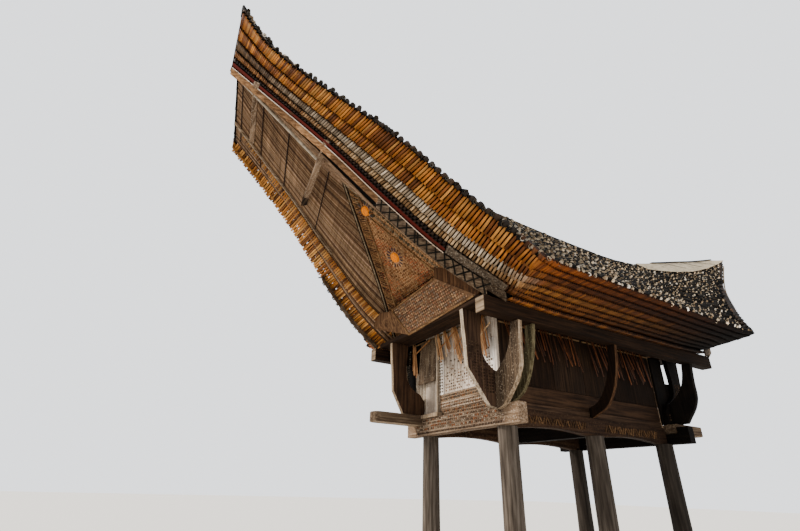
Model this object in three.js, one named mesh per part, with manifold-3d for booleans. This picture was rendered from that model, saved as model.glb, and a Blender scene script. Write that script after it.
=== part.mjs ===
// Rice barn of a tongkonan compound: six round pillars, a small raised granary box with curved
// horn planks at its corners, and a saddle roof of layered split bamboo that rises into a steep
// overhang at the front and a lower one at the back.
// Millimetres, +Z up. The front gable faces -Y and the right side is +X.

import * as THREE from 'three';
import { mergeVertices } from 'three/addons/utils/BufferGeometryUtils.js';
import Module from 'manifold-3d';

// Clearance between pieces that touch
const GAP = 0.3;

// Pillars, at the corners and the middle of the long sides
const PILLAR_X = 950;
const PILLAR_Y = 1800;
const PILLAR_TOP_R = 138;
const PILLAR_MID_R = 143;
const PILLAR_FOOT_R = 158;

// Sills, cut down where a tongue board crosses them
const SILL = { z0: 2330, z1: 2600 };
const CROSS_SILL = { halfX: 1400, y0: 1840, y1: 2000 };
const MIDDLE_SILL_T = 140;
const SIDE_SILL = { x0: 860, x1: 1000, arch: 45, archHalf: 700 };
const TONGUE = { x0: 920, x1: 1200, z0: 2500, z1: 2660, frontTip: 2920, backTip: 2740 };

// Granary box
const SIDE_WALL = { x0: 900, x1: 950 };
const END_WALL = { y0: 1850, y1: 1900 };
const WALL_TOP = 4050;
const FLOOR_T = 32;
const HATCH_HOLE = { x0: -900, x1: -710, z0: 3360, z1: 3800 };
const HATCH = { x0: -1100, x1: -700, top: 3960, height: 650, thick: 32, lean: 14 };
const POST = { x0: -699.5, x1: -560, depth: 58 };

// Horn planks at the corners and ribs at the middle of the long sides
const HORN_X = 990;
const HORN_T = 80;
const RIB_T = 64;

// Long plates under the eaves and boards across the horns
const PLATE = { x0: 1460, x1: 1643, y: 2690, z0: 3650, z1: 3871 };
const CROSS_BOARD = { y0: 2200, y1: 2600, z1: 3950 };

// Gables, hoods, fascia boards and ties
const GABLE_T = 40;
const GABLE_FOOT = { y: 2600, z: 4330 };
const GABLE_RISE = { front: 1.129, back: 0.85 };
const GABLE_REACH = 2400;
const HOOD = { y0: 2285, y1: 2840, x0: 1015, x1: 700, z0: 4144, z1: 4380, edge: 28, cheek: 250 };
const FASCIA = { inset: 24, thick: 38, height: 110, from: 2800 };
const TIE = 80;
const TIES = { front: { lower: -4860, upper: -5800 }, back: { lower: 4300, upper: 5700 } };

// Roof: the outer edge of the top layer, the lowest edge and the two ridge lines, each from the
// eave's corner to the tip. Courses of bamboo step down the top, and layers step down the edge:
// each layer begins at a share of the way from the top edge to the lowest edge.
const COURSES = 20;
const COURSE_STEP = { depth: 50, share: 0.3 };
const VERGE_SHARES = [0, 0.07, 0.37, 0.59, 0.745, 0.86, 0.93, 1];
const EAVE_SHARES = [0, 0.14, 0.29, 0.43, 0.6, 0.75, 0.88, 1];
const LAYER_STEP = { depth: 45, share: 0.25, lip: 12 };
const EAVE_SEAT = { depth: 250, share: 0.2, rise: 4 };
const SAG = 260;
const EAVE_SAG = 33;
const STEPS = { overhang: 12, eave: 6 };
const FRONT_VERGE = [[2450, -2390, 4140], [2240, -2760, 4600], [2050, -3080, 4960],
  [1850, -3430, 5370], [1620, -3800, 5870], [1310, -4340, 6450], [1000, -4870, 6960],
  [660, -5440, 7540], [360, -5950, 8170], [120, -6390, 8960]];
const BACK_VERGE = [[2450, 2740, 4075], [2200, 3050, 4440], [1900, 3640, 4950],
  [1400, 4750, 5760], [800, 6390, 6800], [300, 7950, 7880]];
const FRONT_LOWER = [[1740, -2270, 3905], [1490, -3200, 4420], [1250, -4030, 5110],
  [1000, -4890, 5890]];
const FRONT_LOWER_TIP = { right: [590, -6330, 7030], left: [680, -5990, 6680] };
const BACK_LOWER = [[1740, 2400, 3905], [1580, 3000, 4200], [1350, 3750, 4620],
  [1100, 4600, 5150], [850, 5500, 5750], [620, 6400, 6400]];
const RIDGE = [[-6410, 9110], [-6000, 8600], [-5400, 8020], [-4600, 7460], [-3600, 7060],
  [-2600, 6860], [-1500, 6730], [0, 6650], [1500, 6620], [2800, 6630], [3800, 6740],
  [4800, 7010], [5800, 7310], [6800, 7610], [8000, 8010]];
const INNER_RIDGE = [[-6300, 8100], [-5400, 7020], [-4400, 6260], [-3200, 5760], [-2200, 5420],
  [0, 5400], [2300, 5420], [3300, 5560], [4600, 5860], [5800, 6330], [6900, 6880]];
const RIDGE_SPLIT = { front: -1900, back: 2300 };
const CAP = { half: 300, reach: 0.3, thick: 40, lift: 1.5 };
const HALF_JOINT = 0.2;

const ENDS = { front: -1, back: 1 };
const SIDES = { right: 1, left: -1 };

const COLOURS = {
  old_wood: 0x8d8478, pillar_trunk: 0x9a9288, pale_board: 0xa69c8d,
  dark_wood: 0x3f352d, split_bamboo: 0xa9753f, carved_board: 0x7d4a35,
};

const barn = new THREE.Group();
barn.name = 'tongkonan_rice_barn';

// A mesh in the barn's frame; the caller turns and places it.
function addPiece(name, geometry, slot) {
  const material = new THREE.MeshStandardMaterial({
    name: slot, color: COLOURS[slot], roughness: 0.85, metalness: 0,
  });
  const mesh = new THREE.Mesh(geometry, material);
  mesh.name = name;
  barn.add(mesh);
  return mesh;
}

// Shapes

// A block between two opposite corners, given in any order.
function addBlock(name, [x0, y0, z0], [x1, y1, z1], slot) {
  const size = [x1 - x0, y1 - y0, z1 - z0].map(Math.abs);
  const block = addPiece(name, new THREE.BoxGeometry(...size), slot);
  block.position.set((x0 + x1) / 2, (y0 + y1) / 2, (z0 + z1) / 2);
}

function extrude(shape, depth) {
  return new THREE.ExtrudeGeometry(shape, { depth, bevelEnabled: false, curveSegments: 8 });
}

// Turns an outline drawn in (u, v) so that u is y, v is z and its thickness is along x.
const ACROSS = new THREE.Matrix4().makeBasis(
  new THREE.Vector3(0, 1, 0), new THREE.Vector3(0, 0, 1), new THREE.Vector3(1, 0, 0));

// An outline drawn in (y, z), thick from |x| = near to |x| = far on one side.
function addPlankAcross(name, shape, side, near, far, slot) {
  const plank = addPiece(name, extrude(shape, far - near), slot);
  plank.quaternion.setFromRotationMatrix(ACROSS);
  plank.position.x = side > 0 ? near : -far;
}

// An outline drawn in (x, z), thick from |y| = near to |y| = far at one end.
function addPlankAlong(name, shape, end, near, far, slot) {
  const plank = addPiece(name, extrude(shape, far - near), slot);
  plank.rotation.x = Math.PI / 2;
  plank.position.y = end > 0 ? far : -near;
}

function outline(points) {
  return new THREE.Shape(points.map(([u, v]) => new THREE.Vector2(u, v)));
}

// A closed body from points and triangles, turned so that its faces look outward.
function bodyGeometry(points, triangles) {
  const [a, b, c] = [new THREE.Vector3(), new THREE.Vector3(), new THREE.Vector3()];
  let volume = 0;
  for (const [i, j, k] of triangles) {
    volume += a.fromArray(points[i]).dot(b.fromArray(points[j]).cross(c.fromArray(points[k])));
  }
  const index = triangles.flatMap(([i, j, k]) => (volume < 0 ? [i, k, j] : [i, j, k]));
  const geometry = new THREE.BufferGeometry();
  geometry.setAttribute('position', new THREE.Float32BufferAttribute(points.flat(), 3));
  geometry.setIndex(index);
  geometry.computeVertexNormals();
  return geometry;
}

// A skin over a row of closed sections with equal numbers of points, capped at both ends.
function loftGeometry(sections) {
  const n = sections[0].length;
  const triangles = [];
  for (let s = 0; s + 1 < sections.length; s++) {
    for (let i = 0; i < n; i++) {
      const j = (i + 1) % n;
      const [p, q] = [s * n, (s + 1) * n];
      triangles.push([p + i, p + j, q + j], [p + i, q + j, q + i]);
    }
  }
  for (const [section, first] of [[sections[0], true], [sections.at(-1), false]]) {
    const flat = section.map(([x, , z]) => new THREE.Vector2(x, z));
    const reversed = THREE.ShapeUtils.isClockWise(flat);
    const order = flat.map((_, i) => (reversed ? n - 1 - i : i));
    const start = first ? 0 : (sections.length - 1) * n;
    for (const face of THREE.ShapeUtils.triangulateShape(order.map((i) => flat[i]), [])) {
      const [i, j, k] = face.map((v) => start + order[v]);
      triangles.push(reversed === first ? [i, j, k] : [i, k, j]);
    }
  }
  return bodyGeometry(sections.flat(), triangles);
}

// Cutting

const wasm = await Module();
wasm.setup();

function toManifold(geometry) {
  const bare = geometry.clone();
  bare.deleteAttribute('normal');
  bare.deleteAttribute('uv');
  const merged = mergeVertices(bare, 1e-3);
  return new wasm.Manifold(new wasm.Mesh({
    numProp: 3,
    vertProperties: new Float32Array(merged.attributes.position.array),
    triVerts: new Uint32Array(merged.index.array),
  }));
}

function shifted(geometry, x, y, z) {
  return geometry.clone().translate(x, y, z);
}

// A cutter with copies of it moved by the gap, so that what it cuts stays clear of it.
function withClearance(geometry) {
  const moves = [[0, 0, 0], [GAP, 0, 0], [-GAP, 0, 0], [0, GAP, 0], [0, -GAP, 0], [0, 0, GAP],
    [0, 0, -GAP]];
  return moves.map(([x, y, z]) => shifted(geometry, x, y, z));
}

// The largest piece that is left of a body once the cutters are taken away.
function cutGeometry(geometry, cutters) {
  let body = toManifold(geometry);
  for (const cutter of cutters) {
    body = body.subtract(toManifold(cutter));
  }
  const largest = body.decompose().sort((p, q) => q.volume() - p.volume())[0];
  const mesh = largest.getMesh();
  const points = [];
  for (let i = 0; i < mesh.vertProperties.length; i += mesh.numProp) {
    points.push([...mesh.vertProperties.slice(i, i + 3)]);
  }
  const triangles = [];
  for (let i = 0; i < mesh.triVerts.length; i += 3) {
    triangles.push([...mesh.triVerts.slice(i, i + 3)]);
  }
  return bodyGeometry(points, triangles);
}

// Pillars and sills

function addPillars() {
  const top = SILL.z0 - GAP;
  const profile = [[0, 0], [PILLAR_FOOT_R, 0], [PILLAR_MID_R, top / 2], [PILLAR_TOP_R, top],
    [0, top]].map(([r, z]) => new THREE.Vector2(r, z));
  const rows = { front: -PILLAR_Y, middle: 0, back: PILLAR_Y };
  for (const [row, y] of Object.entries(rows)) {
    for (const [side, sign] of Object.entries(SIDES)) {
      const trunk = addPiece(`pillar_${row}_${side}`, new THREE.LatheGeometry(profile, 16),
        'pillar_trunk');
      trunk.rotation.x = Math.PI / 2;
      trunk.position.set(sign * PILLAR_X, y, 0);
    }
  }
}

// The notch is on the left of the front sill and on the right of the back one.
function addCrossSills() {
  for (const [end, sign] of Object.entries(ENDS)) {
    const { halfX, y0, y1 } = CROSS_SILL;
    const notchBottom = TONGUE.z0 - GAP;
    const shape = outline([[-halfX, SILL.z0], [halfX, SILL.z0], [halfX, SILL.z1],
      [TONGUE.x1 + GAP, SILL.z1], [TONGUE.x1 + GAP, notchBottom],
      [TONGUE.x0 - GAP, notchBottom], [TONGUE.x0 - GAP, SILL.z1], [-halfX, SILL.z1]]
      .map(([x, z]) => [sign * x, z]));
    addPlankAlong(`${end}_sill`, shape, sign, y0, y1, 'old_wood');
  }
  const half = SIDE_SILL.x0 - GAP;
  addBlock('middle_sill', [-half, -MIDDLE_SILL_T / 2, SILL.z0],
    [half, MIDDLE_SILL_T / 2, SILL.z1], 'old_wood');
}

// Each bay's underside rises in a shallow arch.
function addSideSills() {
  const end = CROSS_SILL.y0 - GAP;
  const shape = new THREE.Shape().moveTo(-end, SILL.z1).lineTo(-end, SILL.z0);
  for (const centre of [-PILLAR_Y / 2, PILLAR_Y / 2]) {
    shape.lineTo(centre - SIDE_SILL.archHalf, SILL.z0);
    shape.quadraticCurveTo(centre, SILL.z0 + 2 * SIDE_SILL.arch,
      centre + SIDE_SILL.archHalf, SILL.z0);
  }
  shape.lineTo(end, SILL.z0).lineTo(end, SILL.z1);
  for (const [side, sign] of Object.entries(SIDES)) {
    addPlankAcross(`side_sill_${side}`, shape, sign, SIDE_SILL.x0, SIDE_SILL.x1, 'old_wood');
  }
}

// Boards that run out past the sills to a rounded end.
function addTongues() {
  const places = { front_left: [-1, -1, TONGUE.frontTip], back_right: [1, 1, TONGUE.backTip] };
  for (const [place, [signX, signY, tip]] of Object.entries(places)) {
    const radius = (TONGUE.x1 - TONGUE.x0) / 2;
    const root = END_WALL.y1 + GAP;
    const shape = new THREE.Shape().moveTo(-radius, 0).lineTo(-radius, tip - radius - root);
    shape.absarc(0, tip - radius - root, radius, Math.PI, 0, true);
    shape.lineTo(radius, 0);
    const board = addPiece(`tongue_${place}`, extrude(shape, TONGUE.z1 - TONGUE.z0), 'old_wood');
    board.rotation.z = signY > 0 ? 0 : Math.PI;
    board.position.set(signX * (TONGUE.x0 + TONGUE.x1) / 2, signY * root, TONGUE.z0);
  }
}

// Granary box

function addFloor() {
  const x = SIDE_WALL.x0 - GAP;
  const y = END_WALL.y0 - GAP;
  const z = SILL.z1 + GAP;
  addBlock('floor', [-x, -y, z], [x, y, z + FLOOR_T], 'old_wood');
}

function addWalls() {
  const z = SILL.z1 + GAP;
  const x = SIDE_WALL.x1;
  const front = outline([[-x, z], [x, z], [x, WALL_TOP], [-x, WALL_TOP]]);
  const { x0, x1, z0, z1 } = HATCH_HOLE;
  front.holes.push(outline([[x0, z0], [x0, z1], [x1, z1], [x1, z0]]));
  addPlankAlong('front_wall', front, ENDS.front, END_WALL.y0, END_WALL.y1, 'pale_board');
  addBlock('back_wall', [-x, END_WALL.y0, z], [x, END_WALL.y1, WALL_TOP], 'pale_board');
  const y = END_WALL.y0 - GAP;
  for (const [side, sign] of Object.entries(SIDES)) {
    addBlock(`${side}_wall`, [sign * SIDE_WALL.x0, -y, z], [sign * x, y, WALL_TOP], 'pale_board');
  }
}

// The hatch hangs at its top edge and leans out at the bottom, beside a square post.
function addHatch() {
  const leaf = new THREE.BoxGeometry(HATCH.x1 - HATCH.x0, HATCH.thick, HATCH.height);
  leaf.translate((HATCH.x0 + HATCH.x1) / 2, -HATCH.thick / 2, -HATCH.height / 2);
  const hatch = addPiece('front_hatch', leaf, 'pale_board');
  hatch.rotation.x = -THREE.MathUtils.degToRad(HATCH.lean);
  hatch.position.set(0, -END_WALL.y1 - GAP, HATCH.top);
  const y = -END_WALL.y1 - GAP;
  addBlock('hatch_post', [POST.x0, y - POST.depth, SILL.z1 + GAP], [POST.x1, y, WALL_TOP],
    'pale_board');
}

// Horn planks

function spline(shape, points) {
  return shape.splineThru(points.map(([u, v]) => new THREE.Vector2(u, v)));
}

// Planks in line with the side walls; they carry the cross boards. The foot stands on a tongue
// board or hangs in front of the sill.
function hornAlongShape(sign, onTongue) {
  const at = ([y, z]) => [sign * y, z];
  const top = PLATE.z1 - GAP;
  const shape = new THREE.Shape().moveTo(...at([2250, top])).lineTo(...at([2600, top]));
  spline(shape, [[2577, 3560], [2560, 3370], [2545, 3120]].map(at));
  shape.lineTo(...at([2538, 3033]));
  const wall = END_WALL.y1 + GAP;
  const sill = CROSS_SILL.y1 + GAP;
  const foot = onTongue
    ? [[2330, TONGUE.z1 + GAP], [wall, TONGUE.z1 + GAP]]
    : [[2181, 2554], [sill, 2530], [sill, SILL.z1 + GAP], [wall, SILL.z1 + GAP]];
  foot.forEach((point) => shape.lineTo(...at(point)));
  shape.lineTo(...at([wall, 2900])).lineTo(...at([1990, 3020]));
  spline(shape, [[2125, 3085], [2235, 3190], [2280, 3320], [2290, 3500]].map(at));
  return shape;
}

// Planks in line with the end walls; they carry the long plates.
function hornAcrossShape(sign, onTongue) {
  const at = ([x, z]) => [sign * x, z];
  const top = PLATE.z0 - GAP;
  const root = HORN_X + HORN_T + GAP;
  const shape = new THREE.Shape().moveTo(...at([1462, top])).lineTo(...at([1618, top]));
  spline(shape, [[1590, 3345], [1578, 3080], [1510, 2900], [1402, 2756]].map(at));
  const foot = onTongue ? [[1330, TONGUE.z1 + GAP], [root, TONGUE.z1 + GAP]]
    : [[1274, 2612], [1180, 2545], [root, 2520]];
  foot.forEach((point) => shape.lineTo(...at(point)));
  shape.lineTo(...at([root, 3010]));
  spline(shape, [[1184, 3080], [1300, 3190], [1390, 3330], [1440, 3500]].map(at));
  return shape;
}

function addHorns() {
  for (const [end, signY] of Object.entries(ENDS)) {
    for (const [side, signX] of Object.entries(SIDES)) {
      const onTongue = signX === signY;
      const slot = end === 'back' ? 'dark_wood' : 'old_wood';
      addPlankAcross(`${end}_horn_${side}`, hornAlongShape(signY, onTongue), signX, HORN_X,
        HORN_X + HORN_T, slot);
      const y = CROSS_SILL.y1 + GAP;
      addPlankAlong(`side_horn_${end}_${side}`, hornAcrossShape(signX, onTongue), signY, y,
        y + HORN_T, slot);
    }
  }
}

function addRibs() {
  for (const [side, sign] of Object.entries(SIDES)) {
    const at = ([x, z]) => [sign * x, z];
    const root = SIDE_WALL.x1 + GAP;
    const foot = SILL.z1 + GAP;
    const top = PLATE.z0 - GAP;
    const shape = new THREE.Shape().moveTo(...at([root, 2760])).lineTo(...at([root, foot]));
    shape.lineTo(...at([1000, foot]));
    spline(shape, [[1090, 2640], [1290, 2744], [1430, 2930], [1510, 3130], [1570, 3360],
      [1605, top]].map(at));
    shape.lineTo(...at([1465, top]));
    spline(shape, [[1420, 3350], [1340, 3110], [1230, 2930], [1100, 2810], [root, 2760]].map(at));
    addPlankAlong(`side_rib_${side}`, shape, ENDS.back, -RIB_T / 2, RIB_T / 2, 'old_wood');
  }
}

// Roof

function curve(points) {
  const knots = points.map((point) => new THREE.Vector3(...point));
  return new THREE.CatmullRomCurve3(knots, false, 'centripetal');
}

// Height of a ridge line at y, smooth through its knots.
function heightAt(knots, y) {
  const line = curve(knots.map(([u, z]) => [0, u, z]));
  let [low, high] = [0, 1];
  for (let i = 0; i < 24; i++) {
    const middle = (low + high) / 2;
    if (line.getPoint(middle).y < y) low = middle;
    else high = middle;
  }
  return line.getPoint(low).z;
}

// Stations from the front tip to the back tip. Each holds the top layer's outer edge, the lowest
// edge, the y of the ridge and of the inner ridge, and whether it lies on the eave.
function stations(side) {
  const frontEdge = curve(FRONT_VERGE);
  const frontFoot = curve([...FRONT_LOWER, FRONT_LOWER_TIP[side]]);
  const backEdge = curve(BACK_VERGE);
  const backFoot = curve(BACK_LOWER);
  const inner = { front: FRONT_LOWER[0][1], back: BACK_LOWER[0][1] };
  const mix = THREE.MathUtils.lerp;
  const list = [];
  for (let i = STEPS.overhang; i >= 0; i--) {
    const t = i / STEPS.overhang;
    list.push({
      edge: frontEdge.getPointAt(t), foot: frontFoot.getPointAt(t),
      ridgeY: mix(RIDGE_SPLIT.front, RIDGE[0][0], t),
      innerY: mix(inner.front, INNER_RIDGE[0][0], t), onEave: t === 0,
    });
  }
  for (let i = 1; i < STEPS.eave; i++) {
    const t = i / STEPS.eave;
    const foot = frontFoot.getPoint(0).lerp(backFoot.getPoint(0), t);
    foot.z -= EAVE_SAG;
    list.push({
      edge: frontEdge.getPoint(0).lerp(backEdge.getPoint(0), t), foot,
      ridgeY: mix(RIDGE_SPLIT.front, RIDGE_SPLIT.back, t),
      innerY: mix(inner.front, inner.back, t), onEave: true,
    });
  }
  for (let i = 0; i <= STEPS.overhang; i++) {
    const t = i / STEPS.overhang;
    list.push({
      edge: backEdge.getPointAt(t), foot: backFoot.getPointAt(t),
      ridgeY: mix(RIDGE_SPLIT.back, RIDGE.at(-1)[0], t),
      innerY: mix(inner.back, INNER_RIDGE.at(-1)[0], t), onEave: t === 0,
    });
  }
  return list;
}

// A point on the top surface, from the ridge (0) to the outer edge (1), with a slight hollow.
function topPoint({ edge, ridgeY }, t) {
  const ridge = new THREE.Vector3(HALF_JOINT, ridgeY, heightAt(RIDGE, ridgeY));
  const point = ridge.lerp(edge, t);
  point.z -= SAG * t * (1 - t) * Math.min(1, edge.x / FRONT_VERGE[0][0]);
  return point;
}

// How far the ridge cap reaches down the top.
function capShare(station) {
  const ridge = topPoint(station, 0);
  const slope = Math.hypot(station.edge.x, station.edge.z - ridge.z);
  return Math.min(CAP.half / slope, CAP.reach);
}

// The top from the ridge to the edge: smooth under the cap, then each course rises from under
// the course above to its own lower end.
function courseLine(station) {
  const start = capShare(station);
  const first = topPoint(station, start);
  const length = first.distanceTo(station.edge) / COURSES;
  const depth = Math.min(COURSE_STEP.depth, length * COURSE_STEP.share);
  const line = [topPoint(station, 0), first];
  for (let i = 0; i < COURSES; i++) {
    const upper = topPoint(station, THREE.MathUtils.lerp(start, 1, i / COURSES));
    upper.z -= depth;
    line.push(upper, topPoint(station, THREE.MathUtils.lerp(start, 1, (i + 1) / COURSES)));
  }
  return line;
}

// The stepped edge below it. On an overhang each layer leans out to its lower end; along the
// eave it stands out at its upper end.
function layerLine({ edge, foot, onEave }) {
  const shares = onEave ? EAVE_SHARES : VERGE_SHARES;
  const depth = Math.min(LAYER_STEP.depth, edge.x * LAYER_STEP.share);
  const line = [];
  for (let i = 0; i + 1 < shares.length; i++) {
    const upper = edge.clone().lerp(foot, shares[i]);
    const lower = edge.clone().lerp(foot, shares[i + 1]);
    if (onEave) {
      upper.z -= LAYER_STEP.lip;
      lower.z += depth;
    } else {
      upper.x -= depth;
    }
    line.push(upper, lower);
  }
  return [...line.slice(0, -1), foot];
}

// One section of a roof half: down the top, down the edge, in under the eave and up the inside.
function roofSection(station, sign) {
  const { foot, innerY } = station;
  const points = [...courseLine(station), ...layerLine(station)];
  const seat = new THREE.Vector3(foot.x - Math.min(EAVE_SEAT.depth, foot.x * EAVE_SEAT.share),
    foot.y, foot.z + EAVE_SEAT.rise);
  const inner = new THREE.Vector3(HALF_JOINT, innerY, heightAt(INNER_RIDGE, innerY));
  points.push(seat, seat.clone().lerp(inner, 0.5), inner);
  return points.map((p) => [sign * p.x, p.y, p.z]);
}

function roofGeometry(side) {
  return loftGeometry(stations(side).map((station) => roofSection(station, SIDES[side])));
}

const roofs = { right: roofGeometry('right'), left: roofGeometry('left') };
const roofCutters = [...withClearance(roofs.right), ...withClearance(roofs.left)];

function addRoof() {
  for (const [side, geometry] of Object.entries(roofs)) {
    addPiece(`roof_${side}`, geometry, 'split_bamboo');
  }
}

// A strip that covers the joint of the two roof halves.
function addRidgeCap() {
  const sections = stations('right').map((station) => {
    const ridge = topPoint(station, 0);
    const low = topPoint(station, capShare(station));
    const { lift, thick } = CAP;
    return [[-low.x, low.y, low.z + lift], [0, ridge.y, ridge.z + lift],
      [low.x, low.y, low.z + lift], [low.x, low.y, low.z + thick],
      [0, ridge.y, ridge.z + thick], [-low.x, low.y, low.z + thick]];
  });
  addPiece('ridge_cap', cutGeometry(loftGeometry(sections), roofCutters), 'pale_board');
}

// Plates, gables and boards under the roof

function addPlates() {
  for (const [side, sign] of Object.entries(SIDES)) {
    addBlock(`plate_${side}`, [sign * PLATE.x0, -PLATE.y, PLATE.z0],
      [sign * PLATE.x1, PLATE.y, PLATE.z1], 'old_wood');
  }
}

// Flat boards on the horns, cut to the roof's underside.
function addCrossBoards() {
  const x = PLATE.x0 - GAP;
  const { y0, y1, z1 } = CROSS_BOARD;
  for (const [end, sign] of Object.entries(ENDS)) {
    const board = new THREE.BoxGeometry(2 * x, y1 - y0, z1 - PLATE.z1);
    board.translate(0, sign * (y0 + y1) / 2, (z1 + PLATE.z1) / 2);
    addPiece(`cross_board_${end}`, cutGeometry(board, roofCutters), 'old_wood');
  }
}

// A shallow wedge of board that stands out below a gable.
function hoodGeometry(sign) {
  const { y0, y1, x0, x1, z0, z1, edge, cheek } = HOOD;
  const section = (x, y, low, high) => [[-x, sign * y, low], [x, sign * y, low],
    [x, sign * y, high], [-x, sign * y, high]];
  return loftGeometry([section(x1, y1, z1, z1 + cheek), section(x0, y0, z0, z0 + edge)]);
}

// The leaning panel that fills the opening under an overhang, cut to the roof and the hood.
function gableGeometry(end, hood) {
  const sign = ENDS[end];
  const rise = GABLE_RISE[end];
  const bottom = CROSS_BOARD.z1 + GAP;
  const top = GABLE_FOOT.z + GABLE_REACH * rise;
  const yAt = (z) => GABLE_FOOT.y + (z - GABLE_FOOT.z) / rise;
  const back = GABLE_T * Math.hypot(1, 1 / rise);
  const shape = outline([[yAt(bottom), bottom], [yAt(top), top], [yAt(top) - back, top],
    [yAt(bottom) - back, bottom]].map(([y, z]) => [sign * y, z]));
  const slab = extrude(shape, 2 * PLATE.x0).applyMatrix4(ACROSS).translate(-PLATE.x0, 0, 0);
  return cutGeometry(slab, [...roofCutters, ...withClearance(hood)]);
}

function addGables() {
  for (const [end, sign] of Object.entries(ENDS)) {
    const hood = hoodGeometry(sign);
    addPiece(`hood_${end}`, hood, 'old_wood');
    addPiece(`gable_${end}`, gableGeometry(end, hood), 'carved_board');
  }
}

// Boards that hang along the lower edge of an overhang.
function addFascias() {
  for (const [end, signY] of Object.entries(ENDS)) {
    for (const [side, signX] of Object.entries(SIDES)) {
      const sections = stations(side).filter(({ foot }) => signY * foot.y > FASCIA.from)
        .map(({ foot }) => {
          const outer = signX * (foot.x - FASCIA.inset);
          const inner = outer - signX * FASCIA.thick;
          const [low, high] = [foot.z - FASCIA.height, foot.z - GAP];
          return [[inner, foot.y, low], [outer, foot.y, low], [outer, foot.y, high],
            [inner, foot.y, high]];
        });
      addPiece(`fascia_${end}_${side}`, loftGeometry(sections), 'pale_board');
    }
  }
}

function footAt(side, y) {
  const list = stations(side);
  const i = list.findIndex(({ foot }) => foot.y > y);
  const [a, b] = [list[i - 1].foot, list[i].foot];
  return a.clone().lerp(b, (y - a.y) / (b.y - a.y));
}

// Square bars from one fascia board to the other.
function addTies() {
  for (const [end, rows] of Object.entries(TIES)) {
    for (const [row, y] of Object.entries(rows)) {
      const reach = FASCIA.inset + FASCIA.thick + GAP;
      const near = (side) => [footAt(side, y - TIE / 2), footAt(side, y + TIE / 2)];
      const x = (side) => Math.min(...near(side).map((foot) => foot.x)) - reach;
      const z = Math.min(...[...near('right'), ...near('left')].map((foot) => foot.z)) - 2 * GAP;
      addBlock(`tie_${end}_${row}`, [-x('left'), y - TIE / 2, z - TIE],
        [x('right'), y + TIE / 2, z], 'pale_board');
    }
  }
}

// The finished barn, moved so that the origin is on the ground under its middle.
function centreOnGround() {
  barn.updateMatrixWorld(true);
  const box = new THREE.Box3().setFromObject(barn);
  const centre = box.getCenter(new THREE.Vector3());
  barn.position.set(-centre.x, -centre.y, -box.min.z);
}

addPillars();
addCrossSills();
addSideSills();
addTongues();
addFloor();
addWalls();
addHatch();
addHorns();
addRibs();
addPlates();
addCrossBoards();
addRoof();
addRidgeCap();
addGables();
addFascias();
addTies();
centreOnGround();

export default barn;
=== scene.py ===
import math

import bmesh
import bpy
import numpy as np
from mathutils import Matrix, Vector


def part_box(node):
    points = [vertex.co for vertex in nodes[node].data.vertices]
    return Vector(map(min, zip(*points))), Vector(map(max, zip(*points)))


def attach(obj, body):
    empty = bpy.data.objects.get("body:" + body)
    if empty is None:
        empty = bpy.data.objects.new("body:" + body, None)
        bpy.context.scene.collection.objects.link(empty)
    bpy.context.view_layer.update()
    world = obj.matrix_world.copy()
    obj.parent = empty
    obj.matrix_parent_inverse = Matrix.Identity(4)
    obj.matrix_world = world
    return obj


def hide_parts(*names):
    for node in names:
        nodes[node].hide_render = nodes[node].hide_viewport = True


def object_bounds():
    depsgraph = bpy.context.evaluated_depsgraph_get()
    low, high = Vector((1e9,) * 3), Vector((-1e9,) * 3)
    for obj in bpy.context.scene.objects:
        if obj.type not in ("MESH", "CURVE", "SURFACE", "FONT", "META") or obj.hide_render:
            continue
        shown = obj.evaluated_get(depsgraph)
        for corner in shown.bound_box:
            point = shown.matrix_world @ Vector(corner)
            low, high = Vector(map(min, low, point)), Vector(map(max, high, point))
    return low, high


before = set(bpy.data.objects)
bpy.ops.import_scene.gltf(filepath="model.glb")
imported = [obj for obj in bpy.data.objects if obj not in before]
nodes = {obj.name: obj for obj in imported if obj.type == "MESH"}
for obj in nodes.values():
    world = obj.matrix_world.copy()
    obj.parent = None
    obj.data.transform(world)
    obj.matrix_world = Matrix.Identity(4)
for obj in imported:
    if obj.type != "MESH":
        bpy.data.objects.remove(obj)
cad_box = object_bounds()
rng = np.random.default_rng(7)

# The barn's own middle, halfway between the pillars, in the frame's Y
PILLAR_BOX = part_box("pillar_middle_right")
MIDDLE_Y = (PILLAR_BOX[0].y + PILLAR_BOX[1].y) / 2


def at(x, y, z):
    """A point given in metres from the barn's middle on the ground."""
    return Vector((x, y + MIDDLE_Y, z))


# Camera, standing beside the front right corner and looking up

CAMERA_PLACE = at(5.89, -6.389, 1.5)
# Heading, pitch and roll in degrees
CAMERA_TURNS = (60.43, 26.54, 1.66)
# The focal length as a share of the picture's width, and the sensor's width in millimetres
FOCAL_SHARE = 449.786 / 800
SENSOR = 36.0


def add_camera():
    """A camera that looks up at the barn, turned by its heading, its pitch and its roll."""
    yaw, pitch, roll = (math.radians(turn) for turn in CAMERA_TURNS)
    level = Vector((-math.sin(yaw), math.cos(yaw), 0))
    side = Vector((math.cos(yaw), math.sin(yaw), 0))
    ahead = level * math.cos(pitch) + Vector((0, 0, math.sin(pitch)))
    above = Vector((0, 0, math.cos(pitch))) - level * math.sin(pitch)
    right = side * math.cos(roll) + above * math.sin(roll)
    up = above * math.cos(roll) - side * math.sin(roll)
    data = bpy.data.cameras.new("camera")
    data.sensor_width = SENSOR
    data.lens = FOCAL_SHARE * SENSOR
    camera = bpy.data.objects.new("camera", data)
    turn = Matrix((right, up, -ahead)).transposed().to_4x4()
    camera.matrix_world = Matrix.Translation(CAMERA_PLACE) @ turn
    bpy.context.scene.collection.objects.link(camera)
    bpy.context.scene.camera = camera


# Materials


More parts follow.
